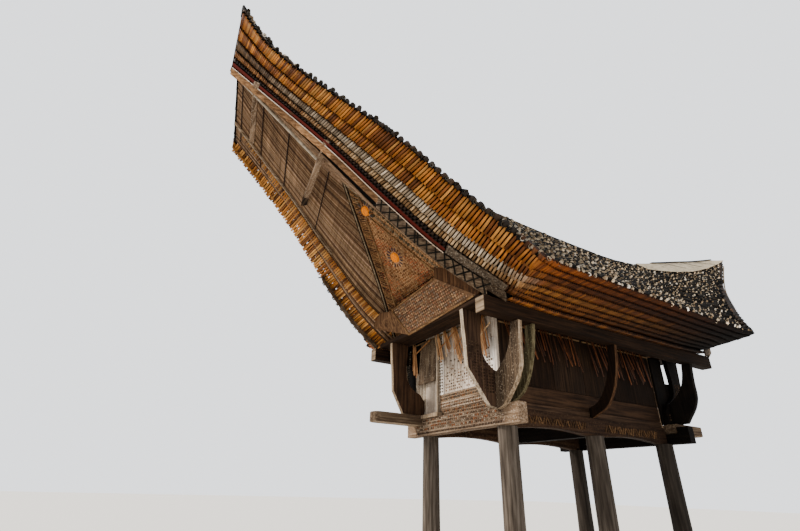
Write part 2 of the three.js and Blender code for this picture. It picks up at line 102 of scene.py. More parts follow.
def paint(hex_value):
    """An sRGB hex colour as linear red, green and blue, and full alpha."""
    parts = [int(hex_value[i:i + 2], 16) / 255 for i in (1, 3, 5)]
    linear = [p / 12.92 if p <= 0.04045 else ((p + 0.055) / 1.055) ** 2.4 for p in parts]
    return (*linear, 1.0)


def add_node(tree, kind, links=(), stops=(), **settings):
    """A shader node with its settings.

    links gives inputs a value or another node's socket; stops gives a colour ramp its places and
    colours.
    """
    made = tree.nodes.new(kind)
    for name, value in settings.items():
        setattr(made, name, value)
    for socket, source in dict(links).items():
        if isinstance(source, bpy.types.NodeSocket):
            tree.links.new(source, made.inputs[socket])
        else:
            made.inputs[socket].default_value = source
    if stops:
        elements = made.color_ramp.elements
        while len(elements) < len(stops):
            elements.new(0.5)
        for element, (place, hex_value) in zip(elements, stops):
            element.position = place
            element.color = paint(hex_value)
    return made


# How much light bare matt wood mirrors, and how much the hard skin of bamboo does
WOOD_SHEEN = 0.06
CULM_SHEEN = 0.15


def new_material(name, roughness, specular=WOOD_SHEEN):
    """A material with its node tree and its shader."""
    made = bpy.data.materials.new(name)
    made.use_nodes = True
    shader = made.node_tree.nodes["Principled BSDF"]
    shader.inputs["Roughness"].default_value = roughness
    shader.inputs["Specular IOR Level"].default_value = specular
    return made, made.node_tree, shader


def finish_material(tree, shader, colour, height, strength, distance, tinted=True):
    """Joins a colour and its relief to the shader; each copy's own tone multiplies the colour."""
    if tinted:
        tone = add_node(tree, "ShaderNodeAttribute", attribute_name="tint").outputs["Color"]
        toned = add_node(tree, "ShaderNodeMix", {"Factor": 1.0}, data_type="RGBA",
                         blend_type="MULTIPLY")
        tree.links.new(colour, toned.inputs["A"])
        tree.links.new(tone, toned.inputs["B"])
        colour = toned.outputs["Result"]
    bump = add_node(tree, "ShaderNodeBump",
                    {"Height": height, "Strength": strength, "Distance": distance})
    tree.links.new(colour, shader.inputs["Base Color"])
    tree.links.new(bump.outputs["Normal"], shader.inputs["Normal"])


# Patterns, in waves to the metre. Grain, fibres and grit are 1 to 3 mm wide on the barn, too fine
# to show from the camera, so each starts as coarse as it needs to show and breaks up from there.

# Grain in bands 29 mm wide and 770 mm long
GRAIN_ACROSS = 34.0
GRAIN_ALONG = 1.3
GRAIN_STOPS = (0.28, 0.46, 0.62)
# Rain stains 380 mm across
STAIN_SCALE = 2.6
# Flakes of paint twice as wide and long as the grain
FLAKE_SCALE = 0.5
# Spots of lichen and lime, 26 mm across
SPOT_SCALE = 38.0
# Chisel marks and grit, 17 mm across
GRIT_SCALE = 60.0
# Bark in lines 33 mm wide and 500 mm long
BARK_SCALE = (30, 30, 2)
# Fibres round a culm and along it, 3 mm wide and about 200 mm long
FIBRE_TURNS = (18.0, 1.4, 1.0)
FIBRE_SCALE = 2.0

# Where a pattern's value lets a layer begin to show and show in full, and how much it then covers
STAINS = (0.48, 0.78, 0.65)
FLAKES = (0.36, 0.44, 0.95)
SPOTS = (0.56, 0.66, 0.75)
# The barn's length over which painted shade deepens towards the back, on the timber and on the
# trunks
SHADE_REACH = (-3.0, 1.6)
TRUNK_SHADE = (-2.6, 1.4, 0.8)

# Relief of each finish: how strong it is, and how deep in metres
TIMBER_RELIEF = (0.6, 0.006)
CULM_RELIEF = (0.4, 0.003)
CARVED_RELIEF = (0.3, 0.003)
BARK_RELIEF = (0.35, 0.004)

AXES = {"x": 0, "y": 1, "z": 2}
GRAINS = {"x": "grain across the barn", "y": "grain along the barn", "z": "upright grain"}
TIMBER_ROUGHNESS = 0.85


def over(tree, below, above, source, low, high, most):
    """A colour laid over another, up to most, where a pattern's value goes from low to high."""
    amount = add_node(tree, "ShaderNodeMapRange",
                      {"Value": source, "From Min": low, "From Max": high, "To Min": 0.0,
                       "To Max": most})
    mixed = add_node(tree, "ShaderNodeMix", {"Factor": amount.outputs["Result"]},
                     data_type="RGBA")
    tree.links.new(below, mixed.inputs["A"])
    mixed.inputs["B"].default_value = paint(above)
    return mixed.outputs["Result"]


def timber(name, axis, dark, mid, light, stain="#1d1611", speck=None, coat=None, shade_to_back=0.0):
    """Air-dried hardwood, sawn and left bare: silvery grain, fine cracks along it, brown stains.

    speck is a colour of lichen and lime spots; coat is a paint that has worn off along the grain;
    the last one is how much painted shade darkens the wood towards the back of the barn.
    """
    made, tree, shader = new_material(f"{name}, {GRAINS[axis]}", TIMBER_ROUGHNESS)
    place = add_node(tree, "ShaderNodeTexCoord").outputs["Object"]
    stretch = [GRAIN_ACROSS] * 3
    stretch[AXES[axis]] = GRAIN_ALONG
    along = add_node(tree, "ShaderNodeMapping", {"Vector": place, "Scale": stretch})
    grain = add_node(tree, "ShaderNodeTexNoise",
                     {"Vector": along.outputs["Vector"], "Scale": 1.0, "Detail": 8.0,
                      "Roughness": 0.65}).outputs["Fac"]
    wood = add_node(tree, "ShaderNodeValToRGB", {"Fac": grain},
                    list(zip(GRAIN_STOPS, (dark, mid, light)))).outputs["Color"]
    patches = add_node(tree, "ShaderNodeTexNoise",
                       {"Vector": place, "Scale": STAIN_SCALE, "Detail": 5.0, "Roughness": 0.6})
    wood = over(tree, wood, stain, patches.outputs["Fac"], *STAINS)
    if coat:
        worn = add_node(tree, "ShaderNodeTexNoise",
                        {"Vector": along.outputs["Vector"], "Scale": FLAKE_SCALE, "Detail": 6.0,
                         "Roughness": 0.7})
        wood = over(tree, wood, coat, worn.outputs["Fac"], *FLAKES)
    if speck:
        spots = add_node(tree, "ShaderNodeTexNoise",
                         {"Vector": place, "Scale": SPOT_SCALE, "Detail": 4.0, "Roughness": 0.7})
        wood = over(tree, wood, speck, spots.outputs["Fac"], *SPOTS)
    # Painted shade: the wood darkens towards the back of the barn, where the parts stand in shade
    if shade_to_back:
        length = add_node(tree, "ShaderNodeSeparateXYZ", {"Vector": place}).outputs["Y"]
        wood = over(tree, wood, "#0d0907", length, *SHADE_REACH, shade_to_back)
    finish_material(tree, shader, wood, grain, *TIMBER_RELIEF)
    return made


def bamboo(name, dark, light, roughness=0.6):
    """Split bamboo culms: fine fibre lines along each culm, every culm of its own tone."""
    made, tree, shader = new_material(name, roughness, CULM_SHEEN)
    flat = add_node(tree, "ShaderNodeTexCoord").outputs["UV"]
    along = add_node(tree, "ShaderNodeMapping", {"Vector": flat, "Scale": FIBRE_TURNS})
    place = add_node(tree, "ShaderNodeTexCoord").outputs["Object"]
    shifted = add_node(tree, "ShaderNodeVectorMath",
                       {0: along.outputs["Vector"], 1: place}, operation="ADD")
    fibre = add_node(tree, "ShaderNodeTexNoise",
                     {"Vector": shifted.outputs["Vector"], "Scale": FIBRE_SCALE, "Detail": 5.0,
                      "Roughness": 0.6}).outputs["Fac"]
    streak = add_node(tree, "ShaderNodeValToRGB", {"Fac": fibre}, [(0.3, dark), (0.65, light)])
    finish_material(tree, shader, streak.outputs["Color"], fibre, *CULM_RELIEF)
    return made


def carved(name, deep, raised):
    """Wood carved by chisel and rubbed with earth colours: matt, gritty, each motif of a tone."""
    made, tree, shader = new_material(name, TIMBER_ROUGHNESS)
    place = add_node(tree, "ShaderNodeTexCoord").outputs["Object"]
    grit = add_node(tree, "ShaderNodeTexNoise",
                    {"Vector": place, "Scale": GRIT_SCALE, "Detail": 4.0, "Roughness": 0.6})
    colour = add_node(tree, "ShaderNodeValToRGB", {"Fac": grit.outputs["Fac"]},
                      [(0.35, deep), (0.6, raised)]).outputs["Color"]
    finish_material(tree, shader, colour, grit.outputs["Fac"], *CARVED_RELIEF)
    return made


def palm_trunk():
    """A palm trunk worn smooth: grey-brown bark in fine upright lines, with painted shade darker
    at the back.
    """
    made, tree, shader = new_material("weathered palm trunk", 0.7)
    place = add_node(tree, "ShaderNodeTexCoord").outputs["Object"]
    fine = add_node(tree, "ShaderNodeMapping", {"Vector": place, "Scale": BARK_SCALE})
    grain = add_node(tree, "ShaderNodeTexNoise",
                     {"Vector": fine.outputs["Vector"], "Scale": 1.0,
                      "Detail": 7.0}).outputs["Fac"]
    bark = add_node(tree, "ShaderNodeValToRGB", {"Fac": grain},
                    [(0.3, "#261f19"), (0.5, "#3f372f"), (0.68, "#564d44")]).outputs["Color"]
    length = add_node(tree, "ShaderNodeSeparateXYZ", {"Vector": place}).outputs["Y"]
    # Painted shade: the bark darkens towards the back of the barn
    bark = over(tree, bark, "#0f0c0a", length, *TRUNK_SHADE)
    finish_material(tree, shader, bark, grain, *BARK_RELIEF, tinted=False)
    return made


# Modelling helpers


# Points nearer than this are one point; edges sharper than this are eased
MERGE = 1e-5
SHARP = math.radians(35)


def activate(piece):
    """Selects one piece alone and makes it the active one."""
    bpy.ops.object.select_all(action="DESELECT")
    piece.select_set(True)
    bpy.context.view_layer.objects.active = piece


def in_edit_mode(piece, steps):
    """Runs modelling steps with the piece open and nothing selected in it."""
    activate(piece)
    bpy.ops.object.mode_set(mode="EDIT")
    bpy.ops.mesh.select_all(action="DESELECT")
    steps()
    bpy.ops.object.mode_set(mode="OBJECT")


def select_top(piece):
    """Selects the faces that look up, in an open piece."""
    bpy.ops.mesh.select_mode(type="FACE")
    mesh = bmesh.from_edit_mesh(piece.data)
    for face in mesh.faces:
        face.select = face.normal.z > 0.9
    mesh.select_flush_mode()
    bmesh.update_edit_mesh(piece.data)


def apply_modifier(piece, kind, **settings):
    """Puts a modifier on a piece and applies it."""
    activate(piece)
    made = piece.modifiers.new(kind.lower(), kind)
    for name, value in settings.items():
        setattr(made, name, value)
    bpy.ops.object.modifier_apply(modifier=made.name)


def ease(piece, width, segments=2, **settings):
    """Rounds a piece's sharp edges."""
    apply_modifier(piece, "BEVEL", width=width, segments=segments, limit_method="ANGLE",
                   **settings)


def primitive(name, add, *materials, **settings):
    """A primitive added alone, with its place put into its mesh and its materials on it."""
    bpy.ops.object.select_all(action="DESELECT")
    add(**settings)
    piece = bpy.context.object
    piece.name = name
    piece.data.name = name
    bpy.ops.object.transform_apply(location=True, rotation=True, scale=True)
    piece.data.materials.clear()
    for material in materials:
        piece.data.materials.append(material)
    return piece


def settle(piece, slot, *replaced):
    """Fixes a finished piece to the barn."""
    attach(piece, "root")
    if replaced:
        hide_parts(*replaced)
    return piece


def read(items, name, width=1, kind=float):
    """The numbers that Blender keeps under a name in its items, width of them in each."""
    values = np.empty(len(items) * width, kind)
    items.foreach_get(name, values)
    return values


def bent_tube(name, place, lengths, sides, material):
    """A grid bent into a closed tube: its vertices lie at place(u, v), u along it, v round it."""
    piece = primitive(name, bpy.ops.mesh.primitive_grid_add, material,
                      x_subdivisions=lengths, y_subdivisions=sides, size=2)
    flat = read(piece.data.vertices, "co", 3).reshape(-1, 3)
    bent = place((flat[:, 0] + 1) / 2, (flat[:, 1] + 1) / 2)
    piece.data.vertices.foreach_set("co", bent.ravel())
    piece.data.update()

    def close():
        bpy.ops.mesh.select_all(action="SELECT")
        bpy.ops.mesh.remove_doubles(threshold=MERGE)
        bpy.ops.mesh.fill_holes(sides=0)
        bpy.ops.mesh.normals_make_consistent(inside=False)
    in_edit_mode(piece, close)
    return piece


def copies(name, template, frames, tints, slot, *replaced):
    """One piece made of copies of a template, each turned and placed by a 3 by 4 frame."""
    source = template.data
    frames = np.asarray(frames)
    number, points = len(frames), len(source.vertices)
    corners, faces = len(source.loops), len(source.polygons)
    co = read(source.vertices, "co", 3).reshape(-1, 3)
    placed = np.einsum("kij,nj->kni", frames[:, :, :3], co)
    placed += frames[:, None, :, 3]
    placed = np.clip(placed, *(np.array(corner) for corner in cad_box))
    each = np.arange(number, dtype=np.int32)[:, None]
    order = read(source.loops, "vertex_index", kind=np.int32) + each * points
    starts = read(source.polygons, "loop_start", kind=np.int32) + each * corners
    mesh = bpy.data.meshes.new(name)
    mesh.vertices.add(number * points)
    mesh.vertices.foreach_set("co", placed.ravel())
    mesh.loops.add(number * corners)
    mesh.loops.foreach_set("vertex_index", order.ravel())
    mesh.polygons.add(number * faces)
    mesh.polygons.foreach_set("loop_start", starts.ravel())
    for value, kind in (("use_smooth", bool), ("material_index", np.int32)):
        of_faces = read(source.polygons, value, kind=kind)
        mesh.polygons.foreach_set(value, np.tile(of_faces, number))
    if source.uv_layers:
        flat = read(source.uv_layers[0].data, "uv", 2)
        layer = mesh.uv_layers.new(name="along the culm")
        layer.data.foreach_set("uv", np.tile(flat, number))
    colour = mesh.attributes.new("tint", "FLOAT_COLOR", "POINT")
    shades = np.ones((number, points, 4))
    shades[:, :, :3] = np.asarray(tints)[:, None, :]
    colour.data.foreach_set("color", shades.ravel())
    mesh.update(calc_edges=True)
    for material in source.materials:
        mesh.materials.append(material)
    piece = bpy.data.objects.new(name, mesh)
    bpy.context.scene.collection.objects.link(piece)
    return settle(piece, slot, *replaced)


def discard(*pieces):
    """Removes pieces that were made only to be copied."""
    for piece in pieces:
        bpy.data.objects.remove(piece)


def unit(v):
    """Vectors one long, along the given ones."""
    return v / np.linalg.norm(v, axis=-1, keepdims=True)


def shades(number, palette, spread=0.25):
    """Linear colours picked from hex colours, each a little lighter or darker."""
    picks = rng.integers(0, len(palette), number)
    base = np.array([paint(h)[:3] for h in palette])[picks]
    return base * (1 + spread * rng.uniform(-1, 1, (number, 1)))


# Roof lines, in metres from the barn's middle: the top layer's outer edge and the lowest edge,
# from the eave's corners out to the tips, then the ridge and the ceiling's, from front to back

FRONT_VERGE = [(2.45, -2.39, 4.14), (2.24, -2.76, 4.6), (2.05, -3.08, 4.96),
               (1.85, -3.43, 5.37), (1.62, -3.8, 5.87), (1.31, -4.34, 6.45),
               (1.0, -4.87, 6.96), (0.66, -5.44, 7.54), (0.36, -5.95, 8.17), (0.12, -6.39, 8.96)]
BACK_VERGE = [(2.45, 2.74, 4.075), (2.2, 3.05, 4.44), (1.9, 3.64, 4.95), (1.4, 4.75, 5.76),
              (0.8, 6.39, 6.8), (0.3, 7.95, 7.88)]
FRONT_LOWER = [(1.74, -2.27, 3.905), (1.49, -3.2, 4.42), (1.25, -4.03, 5.11), (1.0, -4.89, 5.89)]
FRONT_LOWER_TIP = {1: (0.59, -6.33, 7.03), -1: (0.68, -5.99, 6.68)}
BACK_LOWER = [(1.74, 2.4, 3.905), (1.58, 3.0, 4.2), (1.35, 3.75, 4.62), (1.1, 4.6, 5.15),
              (0.85, 5.5, 5.75), (0.62, 6.4, 6.4)]
RIDGE = [(-6.41, 9.11), (-6.0, 8.6), (-5.4, 8.02), (-4.6, 7.46), (-3.6, 7.06), (-2.6, 6.86),
         (-1.5, 6.73), (0, 6.65), (1.5, 6.62), (2.8, 6.63), (3.8, 6.74), (4.8, 7.01),
         (5.8, 7.31), (6.8, 7.61), (8.0, 8.01)]
INNER_RIDGE = [(-6.3, 8.1), (-5.4, 7.02), (-4.4, 6.26), (-3.2, 5.76), (-2.2, 5.42), (0, 5.4),
               (2.3, 5.42), (3.3, 5.56), (4.6, 5.86), (5.8, 6.33), (6.9, 6.88)]
# Where on the ridge the middle of the roof ends, in front and at the back
RIDGE_SPLIT = (-1.9, 2.3)
# How far the slope and the eave hang below straight lines; the eave does so a sixth of the way in
ROOF_SAG = 0.26
EAVE_SAG = 0.033
EAVE_SAG_START = 6
# How far the underside starts inside the lowest edge, or a share of the half width if that is less
SEAT_INSET = 0.25
SEAT_SHARE = 0.2
SIDES = {"right": 1, "left": -1}
ENDS = {"front": -1, "back": 1}


def between(t, low, high, a, b):
    """The point at t on a straight run from a, at low, to b, at high."""
    return (high - t) / (high - low) * a + (t - low) / (high - low) * b


def smooth_line(knots, samples=60):
    """Points along a centripetal Catmull-Rom curve through the knots."""
    p = np.array(knots, float)
    p = np.vstack([2 * p[0] - p[1], p, 2 * p[-1] - p[-2]])
    line = []
    for a, b, c, d in zip(p, p[1:], p[2:], p[3:]):
        t1 = np.linalg.norm(b - a) ** 0.5
        t2 = t1 + np.linalg.norm(c - b) ** 0.5
        t3 = t2 + np.linalg.norm(d - c) ** 0.5
        t = np.linspace(t1, t2, samples, endpoint=False)[:, None]
        bc = between(t, t1, t2, b, c)
        abc = between(t, 0, t2, between(t, 0, t1, a, b), bc)
        bcd = between(t, t1, t3, bc, between(t, t2, t3, c, d))
        line.append(between(t, t1, t2, abc, bcd))
    return np.vstack([*line, p[-2:-1]])


def reach_along(points, measure=1.0):
    """How far along a row of points each lies, counted in metres or in a measure of its own."""
    steps = np.linalg.norm(np.diff(points, axis=0), axis=1) / measure
    return np.concatenate([[0], np.cumsum(steps)])


def along(line, t):
    """Points at shares t of a line's length."""
    reach = reach_along(line)
    return np.stack([np.interp(t * reach[-1], reach, line[:, k]) for k in range(3)], -1)


class RoofHalf:
    """One half of the roof: s runs from the front tip (0) over the eave (1 to 2) to the back."""

    def __init__(self, sign):
        self.sign = sign
        self.edges = [smooth_line(FRONT_VERGE), smooth_line(BACK_VERGE)]
        self.feet = [smooth_line(FRONT_LOWER + [FRONT_LOWER_TIP[sign]]), smooth_line(BACK_LOWER)]
        self.top = smooth_line([(0, y, z) for y, z in RIDGE])
        self.under = smooth_line([(0, y, z) for y, z in INNER_RIDGE])

    def _edge(self, lines, s):
        out = np.clip(1 - s, 0, 1)
        back = np.clip(s - 2, 0, 1)
        middle = np.clip(s - 1, 0, 1)[:, None]
        straight = lines[0][0] * (1 - middle) + lines[1][0] * middle
        points = np.where((s < 1)[:, None], along(lines[0], out), straight)
        return np.where((s > 2)[:, None], along(lines[1], back), points)

    def _ridge(self, line, s, split):
        y = np.interp(s, [0, 1, 2, 3], [line[0, 1], split[0], split[1], line[-1, 1]])
        return np.stack([0 * y, y, np.interp(y, line[:, 1], line[:, 2])], -1)

    def edge(self, s):
        """The top layer's outer edge."""
        return self._edge(self.edges, s)

    def foot(self, s):
        """The lowest edge."""
        points = self._edge(self.feet, s)
        inside = np.clip(np.minimum(s - 1, 2 - s) * EAVE_SAG_START, 0, 1)
        points[:, 2] -= EAVE_SAG * inside
        return points

    def ridge(self, s):
        """The ridge on top."""
        return self._ridge(self.top, s, RIDGE_SPLIT)

    def inner(self, s):
        """The ridge of the ceiling."""
        return self._ridge(self.under, s, (FRONT_LOWER[0][1], BACK_LOWER[0][1]))

    def surface(self, s, t):
        """The top of the roof, from the ridge (t = 0) to the outer edge (t = 1)."""
        edge = self.edge(s)
        points = self.ridge(s) * (1 - t)[:, None] + edge * t[:, None]
        hollow = np.minimum(1, edge[:, 0] / FRONT_VERGE[0][0])
        points[:, 2] -= ROOF_SAG * t * (1 - t) * hollow
        return points

    def lip(self, s, share):
        """The outer edge of a layer, a share of the way from the top edge to the lowest edge."""
        share = np.asarray(share)[:, None]
        return self.edge(s) * (1 - share) + self.foot(s) * share

    def seat(self, s):
        """The outer edge of the underside."""
        foot = self.foot(s)
        seat = foot.copy()
        seat[:, 0] -= np.minimum(SEAT_INSET, foot[:, 0] * SEAT_SHARE)
        return seat

    def placed(self, points):
        """Points on this half, in the frame."""
        out = np.array(points, float)
        out[..., 0] *= self.sign
        out[..., 1] += MIDDLE_Y
        return out

    def frames(self, origins, xs, ys, zs):
        """Copying frames on this half; the x axis is turned round where the half is mirrored."""
        made = np.stack([xs, ys, zs, origins], -1)
        made[:, 0, :] *= self.sign
        made[:, :, 0] *= self.sign
        made[:, 1, 3] += MIDDLE_Y
        return made


HALVES = {name: RoofHalf(sign) for name, sign in SIDES.items()}

# Layers at the eave and on the slanting verges: where each one's lip lies between the top edge
# and the lowest edge

EAVE_LIPS = [0.0, 0.14, 0.29, 0.43, 0.6, 0.75, 0.88, 1.0]
VERGE_LIPS = [0.0, 0.07, 0.37, 0.59, 0.745, 0.86, 0.93, 1.0]
# Tones of each layer on the verges and on the eave; the sixth and seventh verge layers are near
# black, painted shade where they lie deep under the edge
VERGE_TONES = [["#4a3826", "#2f2418"], ["#dc9440", "#c27a2c", "#a5652a", "#e4a452", "#7a481a"],
               ["#d98f3a", "#c07a2e", "#a3642a", "#e2a04c", "#804d1e"],
               ["#e6d8c2", "#cbbca5", "#f6ead6", "#b5a48c"],
               ["#d6b78d", "#bb9a70", "#e8cca4", "#a07f57"], ["#3a2a1c", "#281c12"],
               ["#2c1e14", "#382618"]]
EAVE_TONES = [["#c77324", "#ac5f1c"], ["#b4661f", "#985216"], ["#93561f", "#7c4518"],
              ["#b0702e", "#95592a"], ["#bb7f38", "#9f672c"], ["#ab6c28", "#8f571f"],
              ["#9c6024", "#82501e"]]
# From culm to culm on the slanting verges and on the eave, and how much wider away from the tips
CULM_PITCH = [0.1, 0.042, 0.041, 0.037, 0.037, 0.05, 0.05]
EAVE_PITCH = 0.042
VERGE_WIDENING = 0.45
# A culm's radius as a share of its pitch, and what the eave adds
CULM_RADIUS = (0.37, 0.06)
# Culms turn square to the edge over this much of s beside the tips
TIP_TURN = 0.55
# How deep the culms lie, how far their ends vary, and how far layers lie apart or lap
CULM_SUNK = 0.035
CULM_VARIES = 0.006
EAVE_VARIES = 0.005
LIP_GAP = 0.014
LAP = {"verge": 0.03, "eave": 0.05, "shortest": 0.03}
# Painted shade: how dark the eave gets towards the back, and where the layers darken further
REAR_SHADE = 0.97
EAVE_SHADE = {"most": 0.65, "from": 1.45, "over": 0.4}
UPPER_SHADE = {"most": 0.38, "from": 1.08, "over": 0.2, "layers": 3}
CORNER_SHADE = {"to": 2.14, "over": 0.12}
# Layers that are brown, not bleached, near the front tip
TIP_BROWN = {3: (0.24, 0.17, 0.11), 4: (0.62, 0.4, 0.22)}
TIP_BROWN_TO = {"to": 0.52, "over": 0.42}
# Steps from the front tip to the back one at which rows of culms are measured
STEPS_ROUND = np.linspace(0.004, 2.996, 900)
EAVE_ENDS = (0.93, 2.07)


def eave_share(s, blend=0.14):
    """Whether s lies on the level eave (1) or on a slanting verge (0), or between them."""
    return np.clip(np.minimum(s - EAVE_ENDS[0], EAVE_ENDS[1] - s) / blend, 0, 1)


def lip_share(layer, s):
    """A layer's share at s, going from its verge value to its eave value round the corners."""
    eave = eave_share(s)
    return VERGE_LIPS[layer] * (1 - eave) + EAVE_LIPS[layer] * eave


def resample(points, s, pitch):
    """Values of s spaced by pitch along a row of points; pitch may differ from point to point."""
    reach = reach_along(points, np.broadcast_to(pitch, len(s))[1:])
    number = max(int(reach[-1]), 1)
    return np.interp((np.arange(number) + 0.5) * reach[-1] / number, reach, s)


def tangent(function, s, step=0.004):
    """The way towards the front along a line, given as a function of s."""
    ahead = np.clip(s - step, 0, 3)
    behind = np.clip(s + step, 0, 3)
    return unit(function(ahead) - function(behind))


def culm_template(name, sides, wall, depth, skin, cut, hollow):
    """A hollow culm one unit long and one unit in radius, from the origin down to z = -1."""
    culm = primitive(name, bpy.ops.mesh.primitive_cylinder_add, skin, cut, hollow,
                     vertices=sides, radius=1, depth=1, location=(0, 0, -0.5))

    def hollow_end():
        select_top(culm)
        bpy.ops.mesh.inset(thickness=wall, depth=0)
        bpy.ops.transform.translate(value=(0, 0, -depth))
    in_edit_mode(culm, hollow_end)
    for face in culm.data.polygons:
        side = abs(face.normal.z) < 0.1
        bottom = face.center.xy.length < 0.1 and face.center.z > -0.5
        face.use_smooth = side
        face.material_index = 0 if side else 2 if bottom else 1
    return culm


def layer_tones(layer, s, eave):
    """Tones of a layer's culms, darkened with painted shade along the eave towards the back."""
    tints = (shades(len(s), VERGE_TONES[layer], 0.4) * (1 - eave)
             + shades(len(s), EAVE_TONES[layer], 0.4) * eave)
    under_eave = np.clip((CORNER_SHADE["to"] - s) / CORNER_SHADE["over"], 0, 1)[:, None]
    tints *= 1 - REAR_SHADE * under_eave * np.clip(s - 1, 0, 1)[:, None] ** 0.7
    darker = [EAVE_SHADE, UPPER_SHADE] if layer < UPPER_SHADE["layers"] else [EAVE_SHADE]
    for shade in darker:
        deepens = np.clip((s - shade["from"]) / shade["over"], 0, 1)[:, None]
        tints *= 1 - shade["most"] * under_eave * deepens
    if layer in TIP_BROWN:
        tip = np.clip((TIP_BROWN_TO["to"] - s) / TIP_BROWN_TO["over"], 0, 1)[:, None]
        tints *= 1 - tip + tip * np.array(TIP_BROWN[layer])
    return tints


def add_verge_layers(template):
    """The stepped layers of culms under the edge, right round each half."""
    dense = STEPS_ROUND
    for side, half in HALVES.items():
        for layer in range(len(EAVE_LIPS) - 1):
            lips = half.lip(dense, lip_share(layer, dense))
            on_eave = eave_share(dense)
            wider = 1 + VERGE_WIDENING * np.clip(np.minimum(dense, 3 - dense), 0, 1)
            pitch = CULM_PITCH[layer] * wider * (1 - on_eave) + EAVE_PITCH * on_eave
            s = resample(lips, dense, pitch)
            start = half.lip(s, lip_share(layer, s))
            stop = half.lip(s, lip_share(layer + 1, s))
            t = tangent(lambda v: half.lip(v, lip_share(layer, v)), s)
            down = unit(half.foot(s) - half.edge(s))
            square = unit(down - np.sum(down * t, 1)[:, None] * t)
            tip = np.clip(np.minimum(s, 3 - s) / TIP_TURN, 0, 1)[:, None]
            lean = unit(down * (1 - tip) + square * tip)
            out = unit(np.cross(t, lean))
            reach = (np.sum((stop - start) * square, 1) / np.sum(lean * square, 1))[:, None]
            eave = eave_share(s)[:, None]
            radius = (np.interp(s, dense, pitch)[:, None]
                      * (CULM_RADIUS[0] + CULM_RADIUS[1] * eave))
            jitter = rng.uniform(-1, 1, (len(s), 3))
            upper = start - lean * LAP["verge"] * (1 - eave)
            upper += out * ((-CULM_SUNK - radius) * (1 - eave)
                            + (EAVE_VARIES * jitter[:, :1] - radius) * eave)
            reach = np.maximum(reach - LIP_GAP * (1 - eave) + LAP["eave"] * eave,
                               LAP["shortest"])
            lower = start + lean * (reach + CULM_VARIES * jitter[:, 1:2])
            lower -= out * (radius * (1 - eave) + (radius + LAP["eave"]) * eave)
            lower += t * CULM_VARIES * jitter[:, 2:]
            length = np.linalg.norm(upper - lower, axis=1, keepdims=True)
            z = np.where(eave > 0.5, upper - lower, lower - upper) / length
            x = unit(np.cross(out, z))
            y = np.cross(z, x)
            origin = np.where(eave > 0.5, upper, lower)
            frames = half.frames(origin, x * radius, y * radius, z * length)
            copies(f"layer_{layer + 1}_{side}", template, frames, layer_tones(layer, s, eave),
                   "split_bamboo")


# From row to row and from culm to culm on top of the roof, how long each culm is, its radius as
# a share of the pitch, and how far it tilts up, turns aside and stands out
ROW_PITCH = 0.112
END_PITCH = 0.1
END_LENGTH = 0.24
END_RADII = (0.3, 0.42)
END_TILTS = (0.1, 0.3)
END_ASIDE = 0.12
END_LIFT = 0.04
# The ends' tone along s, lighter towards the back, and the ends on the slanting edges darkened as
# painted shade
END_SHADES = ([0.9, 1.15, 1.6, 1.8], [0.7, 0.85, 1.25, 1.4])
EDGE_SHADE = {"share": 0.93, "s": 0.94, "tone": 0.08}
ROOF_TONES = ["#ffffff", "#e8dccb", "#c2b5a2", "#fff6e6", "#a39482"]


def add_roof_ends(template):
    """Rows of weathered culms on top, each with its cut end showing below the row above."""
    for side, half in HALVES.items():
        parts = {"front": [], "middle": [], "back": []}
        dense = np.linspace(0.002, 2.998, 1200)
        slope = np.linalg.norm(half.edge(dense) - half.ridge(dense), axis=1)
        for row in range(2, int(slope.max() / ROW_PITCH) + 1):
            distance = row * ROW_PITCH
            inside = dense[slope > distance - 0.02]
            if len(inside) < 4:
                continue
            share = np.clip(distance / np.interp(inside, dense, slope), 0, 1)
            points = half.surface(inside, share)
            s = resample(points, inside, END_PITCH)
            s = np.clip(s + rng.uniform(-0.2, 0.2, len(s)) * END_PITCH / 6, 0.002, 2.998)
            long = np.interp(s, dense, slope)
            share = np.clip(distance / long + rng.uniform(-0.018, 0.018, len(s)), 0, 1)
            centre = half.surface(s, share)
            down = unit(half.surface(s, np.minimum(share + 0.02, 1.0))
                        - half.surface(s, share - 0.02))
            t = tangent(lambda v: half.surface(v, np.minimum(distance / np.interp(
                v, dense, slope), 1)), s)
            out = unit(np.cross(down, t))
            out *= np.sign(out[:, 2:3])
            tilt = rng.uniform(*END_TILTS, (len(s), 1))
            z = unit(down + out * tilt + t * rng.uniform(-END_ASIDE, END_ASIDE, (len(s), 1)))
            x = unit(np.cross(out, z))
            y = np.cross(z, x)
            radius = END_PITCH * rng.uniform(*END_RADII, (len(s), 1))
            centre += out * rng.uniform(0.0, END_LIFT, (len(s), 1))
            centre -= down * (0.5 * radius * share[:, None] ** 8)
            frames = half.frames(centre, x * radius, y * radius, z * END_LENGTH)
            on_edge = share > EDGE_SHADE["share"]
            on_edge &= np.minimum(s, 3 - s) < EDGE_SHADE["s"]
            shade = np.where(on_edge, EDGE_SHADE["tone"], np.interp(s, *END_SHADES))
            for part, low, high in (("front", 0, 1), ("middle", 1, 2), ("back", 2, 3)):
                chosen = (s >= low) & (s < high)
                parts[part].append((frames[chosen], shade[chosen]))
        for part, found in parts.items():
            frames = np.concatenate([row[0] for row in found])
            tints = shades(len(frames), ROOF_TONES, 0.3)
            tints *= np.concatenate([row[1] for row in found])[:, None]
            copies(f"roof_ends_{part}_{side}", template, frames, tints, "split_bamboo")


# How far the pile stays behind the culms, what the tips add, and how far along s they do
CORE_INSET = 0.06
TIP_INSET = 0.07
TIP_LENGTH = 0.8
# Where the pile's section bends on top, as shares of the slope, and how far it lies below it
PILE_BENDS = (0, 0.3, 0.6, 0.85)
PILE_SUNK = 0.02


